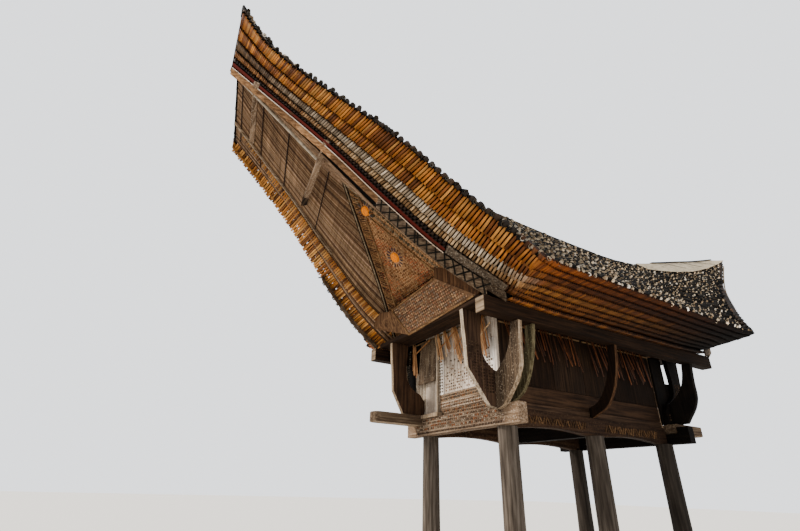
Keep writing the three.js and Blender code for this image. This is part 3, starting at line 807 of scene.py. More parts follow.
def add_roof_piles(material):
    """The solid pile of bamboo behind the rows, set a little back from them."""
    for side, half in HALVES.items():
        def place(u, v):
            s = 3 * u
            edge, foot, seat, inner = half.edge(s), half.foot(s), half.seat(s), half.inner(s)
            out = unit(np.cross(tangent(half.edge, s), foot - edge))
            at_tip = np.clip(1 - np.minimum(s, 3 - s) / TIP_LENGTH, 0, 1)[:, None]
            back = unit(half.ridge(s) - edge) * CORE_INSET
            back -= out * TIP_INSET * at_tip
            ring = [half.surface(s, np.full(len(s), t)) for t in PILE_BENDS]
            for step in ring[1:]:
                step[:, 2] -= PILE_SUNK
            sunk = unit(inner - foot) * CORE_INSET
            sunk -= out * TIP_INSET * at_tip
            ring += [edge + back, (edge + foot) / 2 + sunk, foot + sunk, seat,
                     (seat + inner) / 2, inner, ring[0]]
            stack = np.stack(ring, 1)
            at_ring = np.clip(v * (len(ring) - 1), 0, len(ring) - 1)
            index = np.round(at_ring).astype(int)
            return half.placed(stack[np.arange(len(s)), index])
        pile = bent_tube(f"roof_pile_{side}", place, 72, 10, material)
        settle(pile, "split_bamboo", f"roof_{side}")


# Sawn boards, dressed solids and carving


def tint(piece, colour):
    """Gives all of a piece one tone, which its material multiplies with."""
    layer = piece.data.attributes.new("tint", "FLOAT_COLOR", "POINT")
    layer.data.foreach_set("color", np.tile([*colour, 1.0], len(piece.data.vertices)))


def joined(name, made):
    """Makes one piece of several."""
    bpy.ops.object.select_all(action="DESELECT")
    for piece in made:
        piece.select_set(True)
    bpy.context.view_layer.objects.active = made[0]
    if len(made) > 1:
        bpy.ops.object.join()
    piece = bpy.context.object
    piece.name = name
    piece.data.name = name
    return piece


BOARD_TONES = ["#ffffff", "#e6dfd8", "#cfc6bc", "#f4ece2"]


def boards(name, boxes, finish, slot, *replaced):
    """Boards between pairs of corners, from the barn's middle, their edges eased."""
    made = []
    for low, high in boxes:
        low, high = at(*low), at(*high)
        size = [abs(b - a) for a, b in zip(low, high)]
        board = primitive(name, bpy.ops.mesh.primitive_cube_add, finish, size=1,
                          location=(low + high) / 2, scale=size)
        tint(board, shades(1, BOARD_TONES, 0.08)[0])
        made.append(board)
    piece = joined(name, made)
    ease(piece, 0.005)
    return settle(piece, slot, *replaced)


def solid_copy(name, node, *materials):
    """A copy of a CAD node's solid with its points merged and its flat faces made whole."""
    piece = bpy.data.objects.new(name, nodes[node].data.copy())
    piece.data.name = name
    bpy.context.scene.collection.objects.link(piece)
    piece.data.materials.clear()
    for material in materials:
        piece.data.materials.append(material)

    def merge():
        bpy.ops.mesh.select_all(action="SELECT")
        bpy.ops.mesh.remove_doubles(threshold=MERGE)
        bpy.ops.mesh.dissolve_limited(angle_limit=math.radians(0.5))
    in_edit_mode(piece, merge)
    return piece


def saw(point, normal, keep=None):
    """Cuts the open piece at a plane; keep says which side stays, or both do."""
    bpy.ops.mesh.select_all(action="SELECT")
    bpy.ops.mesh.bisect(plane_co=point, plane_no=normal, use_fill=keep is not None,
                        clear_inner=keep == "outer", clear_outer=keep == "inner")


AXIS = {"x": Vector((1, 0, 0)), "y": Vector((0, 1, 0)), "z": Vector((0, 0, 1))}


def dressed(name, node, slot, finishes, grain, bevel=0.007, cuts=(), finish=None):
    """A CAD node's solid with eased edges: the first finish on its broad faces, the next on the
    rest.

    grain is the axis across the broad faces; cuts are planes (axis, place) where finishes part;
    finish(centre, normal) may give each face one of the finishes by its number instead.
    """
    piece = solid_copy(name, node, *finishes)
    for axis, place in cuts:
        in_edit_mode(piece, lambda: saw(at(*(AXIS[axis] * place)), AXIS[axis]))
    ease(piece, bevel, angle_limit=SHARP)
    middle = at(0, 0, 0)
    for polygon in piece.data.polygons:
        number = 0 if abs(polygon.normal.dot(AXIS[grain])) > 0.9 else 1
        if finish:
            number = finish(polygon.center - middle, polygon.normal)
        polygon.material_index = min(number, len(finishes) - 1)
    tint(piece, shades(1, BOARD_TONES, 0.05)[0])
    return settle(piece, slot, node)


SAW_GAP = 0.004


def sawn(name, node, slot, material, axis, places):
    """A CAD node's solid sawn into boards at places along an axis."""
    made = []
    across = AXIS[axis]
    for low, high in zip(places, places[1:]):
        board = solid_copy(name, node, material)
        for cut, keep in ((low + SAW_GAP / 2, "outer"), (high - SAW_GAP / 2, "inner")):
            in_edit_mode(board, lambda: saw(at(*(across * cut)), across, keep))
        if not board.data.polygons:
            discard(board)
            continue
        tint(board, shades(1, BOARD_TONES, 0.1)[0])
        made.append(board)
    piece = joined(name, made)
    ease(piece, 0.004, segments=1)
    return settle(piece, slot, node)


class Panel:
    """A flat face to carve on: a place on it, its right and its up, from the barn's middle."""

    def __init__(self, place, right, up):
        self.place = np.array(at(*place))
        self.right = unit(np.array(right, float))
        self.up = unit(np.array(up, float))
        self.out = np.cross(self.right, self.up)

    def points(self, flat):
        flat = np.asarray(flat, float)
        return self.place + flat[:, :1] * self.right + flat[:, 1:] * self.up

    def flat(self, points):
        away = np.asarray(points) - self.place
        return np.stack([away @ self.right, away @ self.up], -1)


def rows(x0, x1, y0, y1, pitch, rise):
    """Places in a rectangle, evenly spaced by about pitch across and rise upwards."""
    down = max(int(round((y1 - y0) / rise)), 1)
    over = max(int(round((x1 - x0) / pitch)), 1)
    j, i = np.mgrid[0:down, 0:over]
    x = x0 + (i + 0.5) * (x1 - x0) / over
    y = y0 + (j + 0.5) * (y1 - y0) / down
    return np.stack([x.ravel(), y.ravel()], -1)


def within(flat, corners):
    """Which places lie inside an outline."""
    inside = np.zeros(len(flat), bool)
    x, y = flat[:, 0], flat[:, 1]
    for (x0, y0), (x1, y1) in zip(corners, np.roll(corners, -1, axis=0)):
        crosses = (y0 > y) != (y1 > y)
        rise = y1 - y0 if y1 != y0 else 1e-9
        inside ^= crosses & (x < x0 + (y - y0) / rise * (x1 - x0))
    return inside


# Motifs whose tones vary by more than this are cut by hand: their size and turn vary too
EVEN_SPREAD = 0.2
HAND_SIZES = (0.84, 1.12)
HAND_TURN = 0.09


def carve(name, panel, template, flat, size, tones, turn=0.0, height=0.012, slot="carved_board",
          spread=0.25):
    """Copies of one carved motif on a panel, each of a width and height, turned by turn."""
    flat = np.asarray(flat, float)
    size = np.broadcast_to(np.asarray(size, float), (len(flat), 2))
    turn = np.broadcast_to(np.asarray(turn, float), (len(flat),))[:, None]
    if spread > EVEN_SPREAD:
        size = size * rng.uniform(*HAND_SIZES, size.shape)
        turn = turn + rng.uniform(-HAND_TURN, HAND_TURN, turn.shape)
    x = (panel.right * np.cos(turn) + panel.up * np.sin(turn)) * size[:, :1]
    y = (panel.up * np.cos(turn) - panel.right * np.sin(turn)) * size[:, 1:]
    z = np.broadcast_to(panel.out * height, x.shape)
    frames = np.stack([x, y, z, panel.points(flat)], -1)
    return copies(name, template, frames, shades(len(flat), tones, spread), slot)


def stud_template(name, sides, wall, sink, material):
    """A carved stud one unit across and high: a raised rim round a sunk middle."""
    stud = primitive(name, bpy.ops.mesh.primitive_cylinder_add, material, vertices=sides,
                     radius=0.5, depth=1.4, location=(0, 0, 0.3))

    def sink_middle():
        select_top(stud)
        bpy.ops.transform.resize(value=(0.86, 0.86, 1))
        bpy.ops.mesh.inset(thickness=wall, depth=0)
        bpy.ops.transform.translate(value=(0, 0, -sink))
    in_edit_mode(stud, sink_middle)
    return stud


BAR_FOOT = -0.4


def bar_template(name, taper, material):
    """A carved bar one unit long, wide and high, its top narrower than its foot."""
    bar = primitive(name, bpy.ops.mesh.primitive_cube_add, material, size=1,
                    location=(0, 0, (1 + BAR_FOOT) / 2), scale=(1, 1, 1 - BAR_FOOT))

    def narrow():
        select_top(bar)
        bpy.ops.transform.resize(value=taper)
    in_edit_mode(bar, narrow)
    return bar


def slat_template(name, material):
    """A half-round slat one unit long (z), wide (x) and thick (y)."""
    slat = primitive(name, bpy.ops.mesh.primitive_cube_add, material, size=1)

    def round_edges():
        bpy.ops.mesh.select_mode(type="EDGE")
        mesh = bmesh.from_edit_mesh(slat.data)
        for edge in mesh.edges:
            ends = [vertex.co for vertex in edge.verts]
            edge.select = abs(ends[0].z - ends[1].z) > 0.5
        bmesh.update_edit_mesh(slat.data)
        bpy.ops.mesh.bevel(offset=0.26, segments=1, affect="EDGES")
    in_edit_mode(slat, round_edges)
    return slat


# A board's section, as shares of half its width and thickness, its corners worn off
WORN = 0.86
SECTION = np.array([(1, WORN), (WORN, 1), (-WORN, 1), (-1, WORN), (-1, -WORN), (-WORN, -1),
                    (WORN, -1), (1, -WORN), (1, WORN)])


def rail(name, line, across, over, spans, finish, slot, *replaced, steps=14):
    """Straight-sided boards swept along a line.

    line(s) gives the middle of the section, across(s) and over(s) half its width and thickness;
    spans are the values of s where boards end.
    """
    made = []
    sides = len(SECTION) - 1
    for low, high in zip(spans, spans[1:]):
        def place(u, v):
            s = low + (high - low) * u
            corners = SECTION[np.clip(np.round(v * sides).astype(int), 0, sides)]
            return line(s) + across(s) * corners[:, :1] + over(s) * corners[:, 1:]
        board = bent_tube(name, place, steps, sides, finish)
        tint(board, shades(1, BOARD_TONES, 0.1)[0])
        made.append(board)
    piece = joined(name, made)
    return settle(piece, slot, *replaced)


# Under the overhangs

CEILING_ROWS = 68
CEILING_TONES = ["#a1866b", "#84694f", "#b39879", "#5d4733", "#947a5f", "#c3a78d"]
SLAT_T = 0.014
# Where slats begin and end along s, and how many lie end to end; where battens cross them
CEILING_SPANS = {"front": (0.012, 0.98, 15), "back": (2.02, 2.985, 14)}
BATTEN_SIZE = (0.022, 0.016)
BATTENS = {"front": (0.04, 0.145, 0.27, 0.46), "back": (2.25, 2.5, 2.74, 2.94)}


def ceiling_point(half, s, share):
    """Points of the underside, a share of the way from its outer edge up to its ridge."""
    share = np.asarray(share, float)[:, None]
    return half.seat(s) * (1 - share) + half.inner(s) * share


def slat_frames(half, begin, end, width, thick, lift):
    """Frames for slats between pairs of points, lifted off the underside towards the ground."""
    along_slat = end - begin
    length = np.linalg.norm(along_slat, axis=1, keepdims=True)
    z = along_slat / length
    rise = np.tile([-1.0, 0.0, 0.55], (len(z), 1))
    x = unit(rise - np.sum(rise * z, 1)[:, None] * z)
    y = np.cross(z, x)
    y *= -np.sign(y[:, 2:3])
    x = np.cross(y, z)
    middle = (begin + end) / 2 + y * lift
    return half.frames(middle, x * width, y * thick, z * length)


def add_ceilings(slat, batten):
    """Split slats along the underside of each overhang, held by thin battens across them."""
    for end in ENDS:
        low, high, spans = CEILING_SPANS[end]
        for side, half in HALVES.items():
            cuts = np.linspace(low, high, spans + 1)
            share = (np.arange(CEILING_ROWS) + 0.5) / CEILING_ROWS
            begin_s, share_of = np.meshgrid(cuts[:-1], share)
            end_s = np.meshgrid(cuts[1:], share)[0]
            begin_s, end_s, share_of = begin_s.ravel(), end_s.ravel(), share_of.ravel()
            begin = ceiling_point(half, begin_s, share_of)
            finish = ceiling_point(half, end_s, share_of)
            span = np.linalg.norm(half.inner(begin_s) - half.seat(begin_s), axis=1)
            width = (span / CEILING_ROWS * 0.82)[:, None]
            lift = (SLAT_T * rng.uniform(0.35, 0.75, len(width)))[:, None]
            frames = slat_frames(half, begin, finish, width, SLAT_T, lift)
            row_tone = np.repeat(shades(CEILING_ROWS, CEILING_TONES, 0.2), spans, axis=0)
            tints = row_tone * rng.uniform(0.75, 1.25, (len(width), 1))
            copies(f"ceiling_{end}_{side}", slat, frames, tints, "split_bamboo")
            s = np.array(BATTENS[end])
            lowest = ceiling_point(half, s, np.full(len(s), 0.06))
            highest = ceiling_point(half, s, np.full(len(s), 0.985))
            frames = slat_frames(half, lowest, highest, *BATTEN_SIZE, SLAT_T * 1.6)
            copies(f"ceiling_battens_{end}_{side}", batten, frames,
                   shades(len(s), ["#2b1d14", "#3a281c"], 0.1), "dark_wood")


# The fringe's culms: their spacing and radius, how far up the underside they begin, and how far
# below the edge they end
FRINGE_PITCH = 0.042
FRINGE_R = 0.018
FRINGE_SHARE = 0.17
FRINGE_DROP = 0.132
FRINGE_TONES = ["#c28238", "#d6984c", "#a56c30", "#e0aa60", "#7a4d22"]
SOFFIT_TONES = ["#9a5f28", "#7d4c20", "#b0722f", "#644020"]


def add_fringe(template, bead):
    """Culms laid square to the lowest edge, whose cut ends hang out under it like a fringe."""
    for side, half in HALVES.items():
        s = resample(half.foot(STEPS_ROUND), STEPS_ROUND, FRINGE_PITCH)
        if side == "right":
            s = s[(s > 1.0) & (s < 2.0)]
        eave = eave_share(s, 0.08)[:, None]
        foot = half.foot(s)
        t = tangent(half.foot, s)
        inner = ceiling_point(half, s, np.full(len(s), FRINGE_SHARE))
        under = unit(np.cross(t, inner - foot))
        under *= -np.sign(under[:, 2:3])
        inner = inner + under * (FRINGE_R + SLAT_T)
        square = inner - foot
        square -= np.sum(square * t, 1)[:, None] * t
        inner = foot + square
        outer = foot + [0.0, 0.0, -FRINGE_DROP] + t * rng.uniform(-0.01, 0.01, (len(s), 1))
        outer += unit(outer - inner) * rng.uniform(-0.014, 0.01, (len(s), 1))
        seat = foot * 0.6 + half.seat(s) * 0.4 - [0.0, 0.0, FRINGE_R + 0.002]
        inner = inner * (1 - eave) + seat * eave
        outer = outer * (1 - eave) + (foot - [0.0, 0.0, FRINGE_R]) * eave
        z = outer - inner
        x = unit(np.cross(t, z)) * FRINGE_R
        y = unit(np.cross(z, x)) * FRINGE_R
        tints = shades(len(s), FRINGE_TONES, 0.35) * (1 - eave)
        tints += shades(len(s), SOFFIT_TONES, 0.3) * eave
        # Painted shade: the fringe darkens towards the back of the eave
        tints *= 1 - REAR_SHADE * np.clip(s - 1, 0, 1)[:, None] ** 0.7
        tints *= 0.8 + 0.7 * np.clip(s, 0, 1)[:, None]
        copies(f"fringe_{side}", template, half.frames(outer, x, y, z), tints, "split_bamboo")
    half = HALVES["left"]

    def bead_line(s):
        points = ceiling_point(half, s, np.full(len(s), FRINGE_SHARE + 0.012))
        return half.placed(points - [0.012, 0.0, 0.03])
    for end in ENDS:
        rail(f"fringe_rail_{end}_left", bead_line, sideways(half, 0.014), upward(0.022),
             FASCIA_SPANS[end], bead, "pale_board")


# The board under each edge: how far inside the edge it hangs, half its thickness and height
FASCIA_MIDDLE = 0.043
FASCIA_HALF_T = 0.019
FASCIA_HALF_H = 0.0548
FASCIA_SPANS = {"front": [0.003, 0.13, 0.25, 0.38, 0.56],
                "back": [2.145, 2.35, 2.6, 2.8, 2.997]}
RED_SPANS = {"front": [0.004, 0.4, 0.79], "back": [2.21, 2.6, 2.996]}


def steady(x, y, z):
    """The same half width or thickness all along a board."""
    return lambda s: np.tile([x, y, z], (len(s), 1))


def sideways(half, amount):
    """Half a width towards the side of a roof half."""
    return steady(amount * half.sign, 0.0, 0.0)


def upward(amount):
    """Half a height."""
    return steady(0.0, 0.0, amount)


def below_foot(half, inset, drop):
    """A line that runs a little inside and below the lowest edge of the roof."""
    return lambda s: half.placed(half.foot(s) - np.array([inset, 0.0, drop]))


def on_slope(half, share, out):
    """A line on the layers' slope, a share of the way down to the lowest edge, and out."""
    def line(s):
        points = half.lip(s, np.full(len(s), share))
        points[:, 0] += out
        return half.placed(points)
    return line


def down_slope(half, share):
    """Half a width down the layers' slope, as a share of it."""
    def across(s):
        slope = half.foot(s) - half.edge(s)
        slope[:, 0] *= half.sign
        return slope * share
    return across


STRIP_SHARE = 0.975
STRIP_HALF = 0.019
STRIP_OUT = 0.004


def add_fascias(board, straw, red, white):
    """The pale board along each lower edge, with a red strip and a thin white bead above it."""
    for end in ENDS:
        for side, half in HALVES.items():
            rail(f"fascia_board_{end}_{side}",
                 below_foot(half, FASCIA_MIDDLE, FASCIA_HALF_H + 0.0003),
                 sideways(half, FASCIA_HALF_T), upward(FASCIA_HALF_H), FASCIA_SPANS[end],
                 straw if side == "left" else board, "pale_board", f"fascia_{end}_{side}")
            rail(f"white_bead_{end}_{side}", below_foot(half, 0.016, 0.012),
                 sideways(half, 0.005), upward(0.0065), RED_SPANS[end], white, "pale_board")
            rail(f"red_strip_{end}_{side}", on_slope(half, STRIP_SHARE, STRIP_OUT),
                 down_slope(half, STRIP_HALF), sideways(half, 0.01), RED_SPANS[end], red,
                 "carved_board")


def add_verge_bead(wood):
    """A pale worn strip along the rear edge of the roof."""
    for side, half in HALVES.items():
        rail(f"rear_verge_bead_{side}",
             lambda s: half.placed(half.edge(s) + np.array([0.0, 0.03, 0.0])),
             sideways(half, 0.014), upward(0.016), [2.04, 2.35, 2.65, 2.92], wood, "pale_board")


# The lattice board: its spans, half its height, and the strips' spacing, lean and size
LATTICE_SPANS = {"front": [0.56, 0.69, 0.81, 0.925], "back": [2.075, 2.145]}
LATTICE_HALF = 0.095
LATTICE_PITCH = 0.16
LATTICE_LEAN = 0.92
LATTICE_STRIP = (0.235, 0.022)
# The plain planks above it, half their width as a share of the slope
CORNER_SPANS = {"front": [0.795, 0.975], "back": [2.025, 2.205]}
FILLER_SPANS = {"front": [0.915, 0.985], "back": [2.015, 2.085]}
CORNER_HALF = 0.062


def add_lattice(board, plank, parts):
    """Grey boards with crossing dark strips on the lower end of each edge, plain planks above."""
    for end in ENDS:
        for side, half in HALVES.items():
            line = below_foot(half, FASCIA_MIDDLE, LATTICE_HALF + 0.004)
            rail(f"lattice_board_{end}_{side}", line, sideways(half, FASCIA_HALF_T),
                 upward(LATTICE_HALF), LATTICE_SPANS[end], board, "pale_board")
            rail(f"corner_plank_{end}_{side}", on_slope(half, 1 - CORNER_HALF, 0.006),
                 down_slope(half, CORNER_HALF), sideways(half, 0.012), CORNER_SPANS[end],
                 plank, "pale_board")
            rail(f"corner_filler_{end}_{side}", below_foot(half, 0.03, 0.05),
                 sideways(half, 0.012), upward(0.066), FILLER_SPANS[end], plank, "pale_board")
            if end == "back":
                continue
            for number, (low, high) in enumerate(zip(LATTICE_SPANS[end], LATTICE_SPANS[end][1:])):
                first, last = line(np.array([low, high]))
                ahead = unit(last - first) * half.sign
                out = unit(np.array([ahead[1], -ahead[0], 0.0]))
                panel = Panel((0, 0, 0), ahead, np.cross(out, ahead))
                panel.place = (first + last) / 2 + out * 0.016
                long = np.linalg.norm(last - first)
                places = np.arange(-long / 2, long / 2, LATTICE_PITCH) + LATTICE_PITCH / 2
                flat = np.stack([places, 0 * places], -1)
                for lean in (LATTICE_LEAN, -LATTICE_LEAN):
                    carve(f"lattice_{number}_{side}_{'up' if lean > 0 else 'down'}", panel,
                          parts["strip"], flat, LATTICE_STRIP, ["#1d1d18", "#2a2822"],
                          turn=lean, height=0.009, spread=0.2)


# Where the pole lies on the ties, how far it goes on past them as a share of that, and its radius
POLE = [(0.54, -5.85, 6.652), (0.608, -4.879, 5.907)]
POLE_REACH = 1.36
POLE_R = 0.024


def round_pole(name, low, high, x, y, radius, lengths, sides, material, tone):
    """A pole between two points; x and y are square to it, and radius(u) is how thick it is."""
    def place(u, v):
        angle = v * 2 * np.pi
        thick = radius(u)
        return (low + (high - low) * u[:, None] + x * (thick * np.cos(angle))[:, None]
                + y * (thick * np.sin(angle))[:, None])
    pole = bent_tube(name, place, lengths, sides, material)
    tint(pole, paint(tone)[:3])
    settle(pole, "split_bamboo")


def add_pole(material):
    """A round pole, with knots, that lies on the ties beside the board."""
    high, low = np.array(POLE) + [0, MIDDLE_Y, 0]
    axis = high - low
    x = unit(np.cross(axis, [0, 0, 1.0]))
    round_pole("pole_on_ties", low, low + axis * POLE_REACH, x, unit(np.cross(x, axis)),
               lambda u: POLE_R * (1 + 0.06 * np.sin(u * 40) * (u % 0.25 < 0.03)), 40, 10,
               material, "#f2ece2")


# The front ties run a little askew: right end, left end, half their thickness
FRONT_TIES = {"upper": ((0.73, -5.95, 6.735), (-0.83, -5.64, 6.69), 0.04),
              "lower": ((1.0, -4.886, 5.93), (-0.93, -4.60, 5.90), 0.044)}
BLACK_PART = (0.715, 0.955)


def add_ties(pale, black, grey):
    """Square bars from board to board; the lower front one is painted black over one stretch."""
    for row, (right, left, half) in FRONT_TIES.items():
        right, left = np.array(at(*right)), np.array(at(*left))
        parts = [("bar", 0, 1, pale)]
        if row == "lower":
            parts = [("bar", 0, BLACK_PART[0], pale), ("black_part", *BLACK_PART, black),
                     ("end", BLACK_PART[1], 1, grey)]
        for part, low, high, finish in parts:
            replaced = [f"tie_front_{row}"] if part == "bar" else []
            rail(f"tie_{part}_front_{row}", lambda s: right + (left - right) * s[:, None],
                 steady(0.0, half, 0.0), upward(half), (low, high), finish, "pale_board",
                 *replaced)
        dressed(f"tie_bar_back_{row}", f"tie_back_{row}", "pale_board", (pale,), "z",
                bevel=0.012)


# Gables and hoods

# The gables' foot from the barn's middle, and how far each rises for a metre it leans out
GABLE = {"y": 2.6, "z": 4.33, "front": 1.129, "back": 0.85}
GABLE_JOINTS = [-1.5, -1.16, -0.83, -0.5, -0.17, 0.15, 0.48, 0.82, 1.15, 1.5]
BORDER = 0.24
MOTIF_RISE = 0.046
FIELD_TONES = ["#bb8d63", "#a2744e", "#c79d72", "#8d6442", "#ad8d6a", "#b27c50", "#7d5638"]
RED_TONES = ["#cb7850", "#b56846", "#da9063", "#a2604a", "#be8a63"]
PALE_LINE = ["#a3967f", "#b8ab95"]
BROWN_LINE = ["#8a6a48", "#a0805a"]
DARK_LINE = ["#2b2118", "#3a2d20"]
SUNS = {"front": [(0.077, 1.787), (0.046, 0.865)], "back": [(0.0, 1.2), (0.0, 0.55)]}
SUN_R = 0.095
SUN_RAYS = 16


def gable_panel(end):
    """The leaning outer face of a gable."""
    sign = ENDS[end]
    return Panel((0, sign * GABLE["y"], GABLE["z"]), (-sign, 0, 0),
                 (0, sign / GABLE[end], 1))


def gable_edge(end, half, shares):
    """Where the underside of a roof half meets the gable, in the gable's flat coordinates."""
    panel = gable_panel(end)
    low, high = (0.3, 1.0) if end == "front" else (2.0, 2.7)
    s = np.linspace(low, high, 400)
    found = []
    for share in shares:
        points = half.placed(ceiling_point(half, s, np.full(len(s), share)))
        away = (points - panel.place) @ panel.out
        index = int(np.argmin(np.abs(away)))
        found.append(panel.flat(points[index:index + 1])[0])
    return np.array(found)


def along_edge(edge, inset, pitch):
    """Places and directions along a gable's edge, inset from it towards the middle."""
    reach = reach_along(edge)
    number = int(reach[-1] / pitch)
    places = (np.arange(number) + 0.5) * reach[-1] / number

    def spot(distance):
        return np.stack([np.interp(distance, reach, edge[:, k]) for k in (0, 1)], -1)
    points = spot(places)
    direction = unit(spot(places + 0.02) - spot(places - 0.02))
    inward = np.stack([direction[:, 1], -direction[:, 0]], -1)
    inward *= np.sign(-points[:, :1] * inward[:, :1] + 1e-9)
    return points + inward * inset, np.arctan2(direction[:, 1], direction[:, 0])


def add_gables(wood, parts):
    """Upright planks carved all over, with a border along each slope and two rayed suns."""
    for end in ENDS:
        sawn(f"gable_planks_{end}", f"gable_{end}", "carved_board", wood, "x", GABLE_JOINTS)
        panel = gable_panel(end)
        shares = np.linspace(0.04, 0.995, 60)
        edges = {side: gable_edge(end, half, shares) for side, half in HALVES.items()}
        foot = min(edge[0, 1] for edge in edges.values())
        outline = np.vstack([edges["left"], edges["right"][::-1]])
        width = np.abs(outline[:, 0]).max()
        height = outline[:, 1].max()
        field = rows(-width, width, foot, height, 0.052, MOTIF_RISE)
        slope = np.abs(edges["right"][0, 0]) / (height - foot)
        reach = (height - BORDER * 2.3 - field[:, 1]) * slope
        clear = np.abs(field[:, 0]) < reach
        for sun in SUNS[end]:
            clear &= np.hypot(field[:, 0] - sun[0], field[:, 1] - sun[1]) > SUN_R * 2.0
        field = field[clear]
        kind = (np.arange(len(field)) + np.round(field[:, 1] / MOTIF_RISE).astype(int)) % 3
        warm = np.sin(field[:, 0] * 7 + 2) * np.cos(field[:, 1] * 5 + 1)
        warm = warm + 0.6 * np.sin(field[:, 0] * 17 + field[:, 1] * 13) > 0.3
        for number, (template, size) in enumerate(((parts["lozenge"], (0.046, 0.04)),
                                                   (parts["ring"], (0.04, 0.036)),
                                                   (parts["bar"], (0.04, 0.014)))):
            for name, tones, patch in (("brown", FIELD_TONES, ~warm), ("red", RED_TONES, warm)):
                carve(f"gable_{name}_carving_{number + 1}_{end}", panel, template,
                      field[(kind == number) & patch], size, tones, turn=0.5 * (number == 2),
                      height=0.009)
        for side, edge in edges.items():
            ticked = (side == "left") == (end == "front")
            lines = [(0.012, 0.022, PALE_LINE), (BORDER + 0.02, 0.016, BROWN_LINE)]
            if ticked:
                lines = [(0.014, 0.02, DARK_LINE), (0.045, 0.026, PALE_LINE),
                         (0.078, 0.022, DARK_LINE), (0.315, 0.03, BROWN_LINE)]
            for number, (inset, wide, tones) in enumerate(lines):
                flat, turn = along_edge(edge, inset, 0.1)
                carve(f"gable_line_{number + 1}_{end}_{side}", panel, parts["strip"], flat,
                      (0.101, wide), tones, turn=turn, height=0.02, spread=0.1)
            if ticked:
                flat, turn = along_edge(edge, 0.195, 0.034)
                carve(f"gable_ticks_{end}_{side}", panel, parts["bar"], flat, (0.016, 0.2),
                      ["#7d5c3c", "#96754e", "#4a3626"], turn=turn - 0.25, height=0.012)
            else:
                for number, inset in enumerate((0.07, 0.17)):
                    flat, turn = along_edge(edge, inset, 0.05)
                    carve(f"gable_scales_{number + 1}_{end}_{side}", panel, parts["lozenge"],
                          flat, (0.06, 0.08), ["#8b7a62", "#6f6350", "#a08d72", "#585443"],
                          turn=turn, height=0.012)
        suns = np.array(SUNS[end])
        carve(f"gable_suns_{end}", panel, parts["sun"], suns, 2 * SUN_R, ["#ffffff"],
              height=0.02, spread=0.0)
        angles = np.tile(np.arange(SUN_RAYS) * 2 * np.pi / SUN_RAYS, len(suns))
        centres = np.repeat(suns, SUN_RAYS, axis=0)
        spokes = centres + np.stack([np.cos(angles), np.sin(angles)], -1) * SUN_R * 1.55
        carve(f"gable_rays_{end}", panel, parts["bar"], spokes, (0.07, 0.02),
              ["#6a5668", "#7d4a35", "#5a5a66", "#8c5a34"], turn=angles, height=0.014)


# Corners of the hood's parts, anticlockwise from the lower left as seen from outside, in metres:
# to the right, outwards from the barn's middle, and up
HOOD_FACE = [(-0.404, 2.61, 3.842), (1.404, 2.61, 3.954), (0.708, 2.852, 4.425),
             (-0.646, 2.84, 4.315)]
HOOD_BACK = [(-0.404, 2.46, 3.955), (1.34, 2.46, 3.96), (0.70, 2.8, 4.45), (-0.64, 2.79, 4.34)]
HOOD_CHEEK = [(0.712, 2.85, 4.425), (1.404, 2.6, 3.956), (1.44, 2.57, 4.03),
              (0.722, 2.855, 4.727)]
HOOD_WING = [(-1.268, 2.84, 4.154), (-0.41, 2.6, 3.86), (-0.65, 2.83, 4.31), (-1.3, 2.84, 4.47)]
HOOD_T = 0.03
HOOD_TONES = ["#c6a283", "#9d8672", "#dfbc98", "#cf9f80", "#a99789", "#b8866a"]


def turned(end, corner):
    """A hood corner's place at one end of the barn, from the barn's middle."""
    sign = ENDS[end]
    return (-sign * corner[0], sign * corner[1], corner[2])


def slab(name, end, near, far, finish):
    """A board between two outlines of four corners each."""
    piece = primitive(name, bpy.ops.mesh.primitive_cube_add, finish, size=2)
    order = [(-1, -1), (1, -1), (1, 1), (-1, 1)]
    for vertex in piece.data.vertices:
        x, y, z = (round(c) for c in vertex.co)
        corner = (near if y < 0 else far)[order.index((x, z))]
        vertex.co = at(*turned(end, corner))

    def face_out():
        bpy.ops.mesh.select_all(action="SELECT")
        bpy.ops.mesh.quads_convert_to_tris()
        bpy.ops.mesh.normals_make_consistent(inside=False)
        bpy.ops.mesh.tris_convert_to_quads(face_threshold=math.radians(3))
    in_edit_mode(piece, face_out)
    ease(piece, 0.006)
    tint(piece, shades(1, BOARD_TONES, 0.05)[0])
    return piece


def edging(name, panel, template, low, high, wide, tones):
    """A raised strip on a panel between two places."""
    span = np.array(high) - low
    number = max(int(np.linalg.norm(span) / 0.12), 1)
    flat = low + span * ((np.arange(number) + 0.5) / number)[:, None]
    carve(name, panel, template, flat, (np.linalg.norm(span) / number * 1.01, wide), tones,
          turn=math.atan2(span[1], span[0]), height=0.014, spread=0.05)


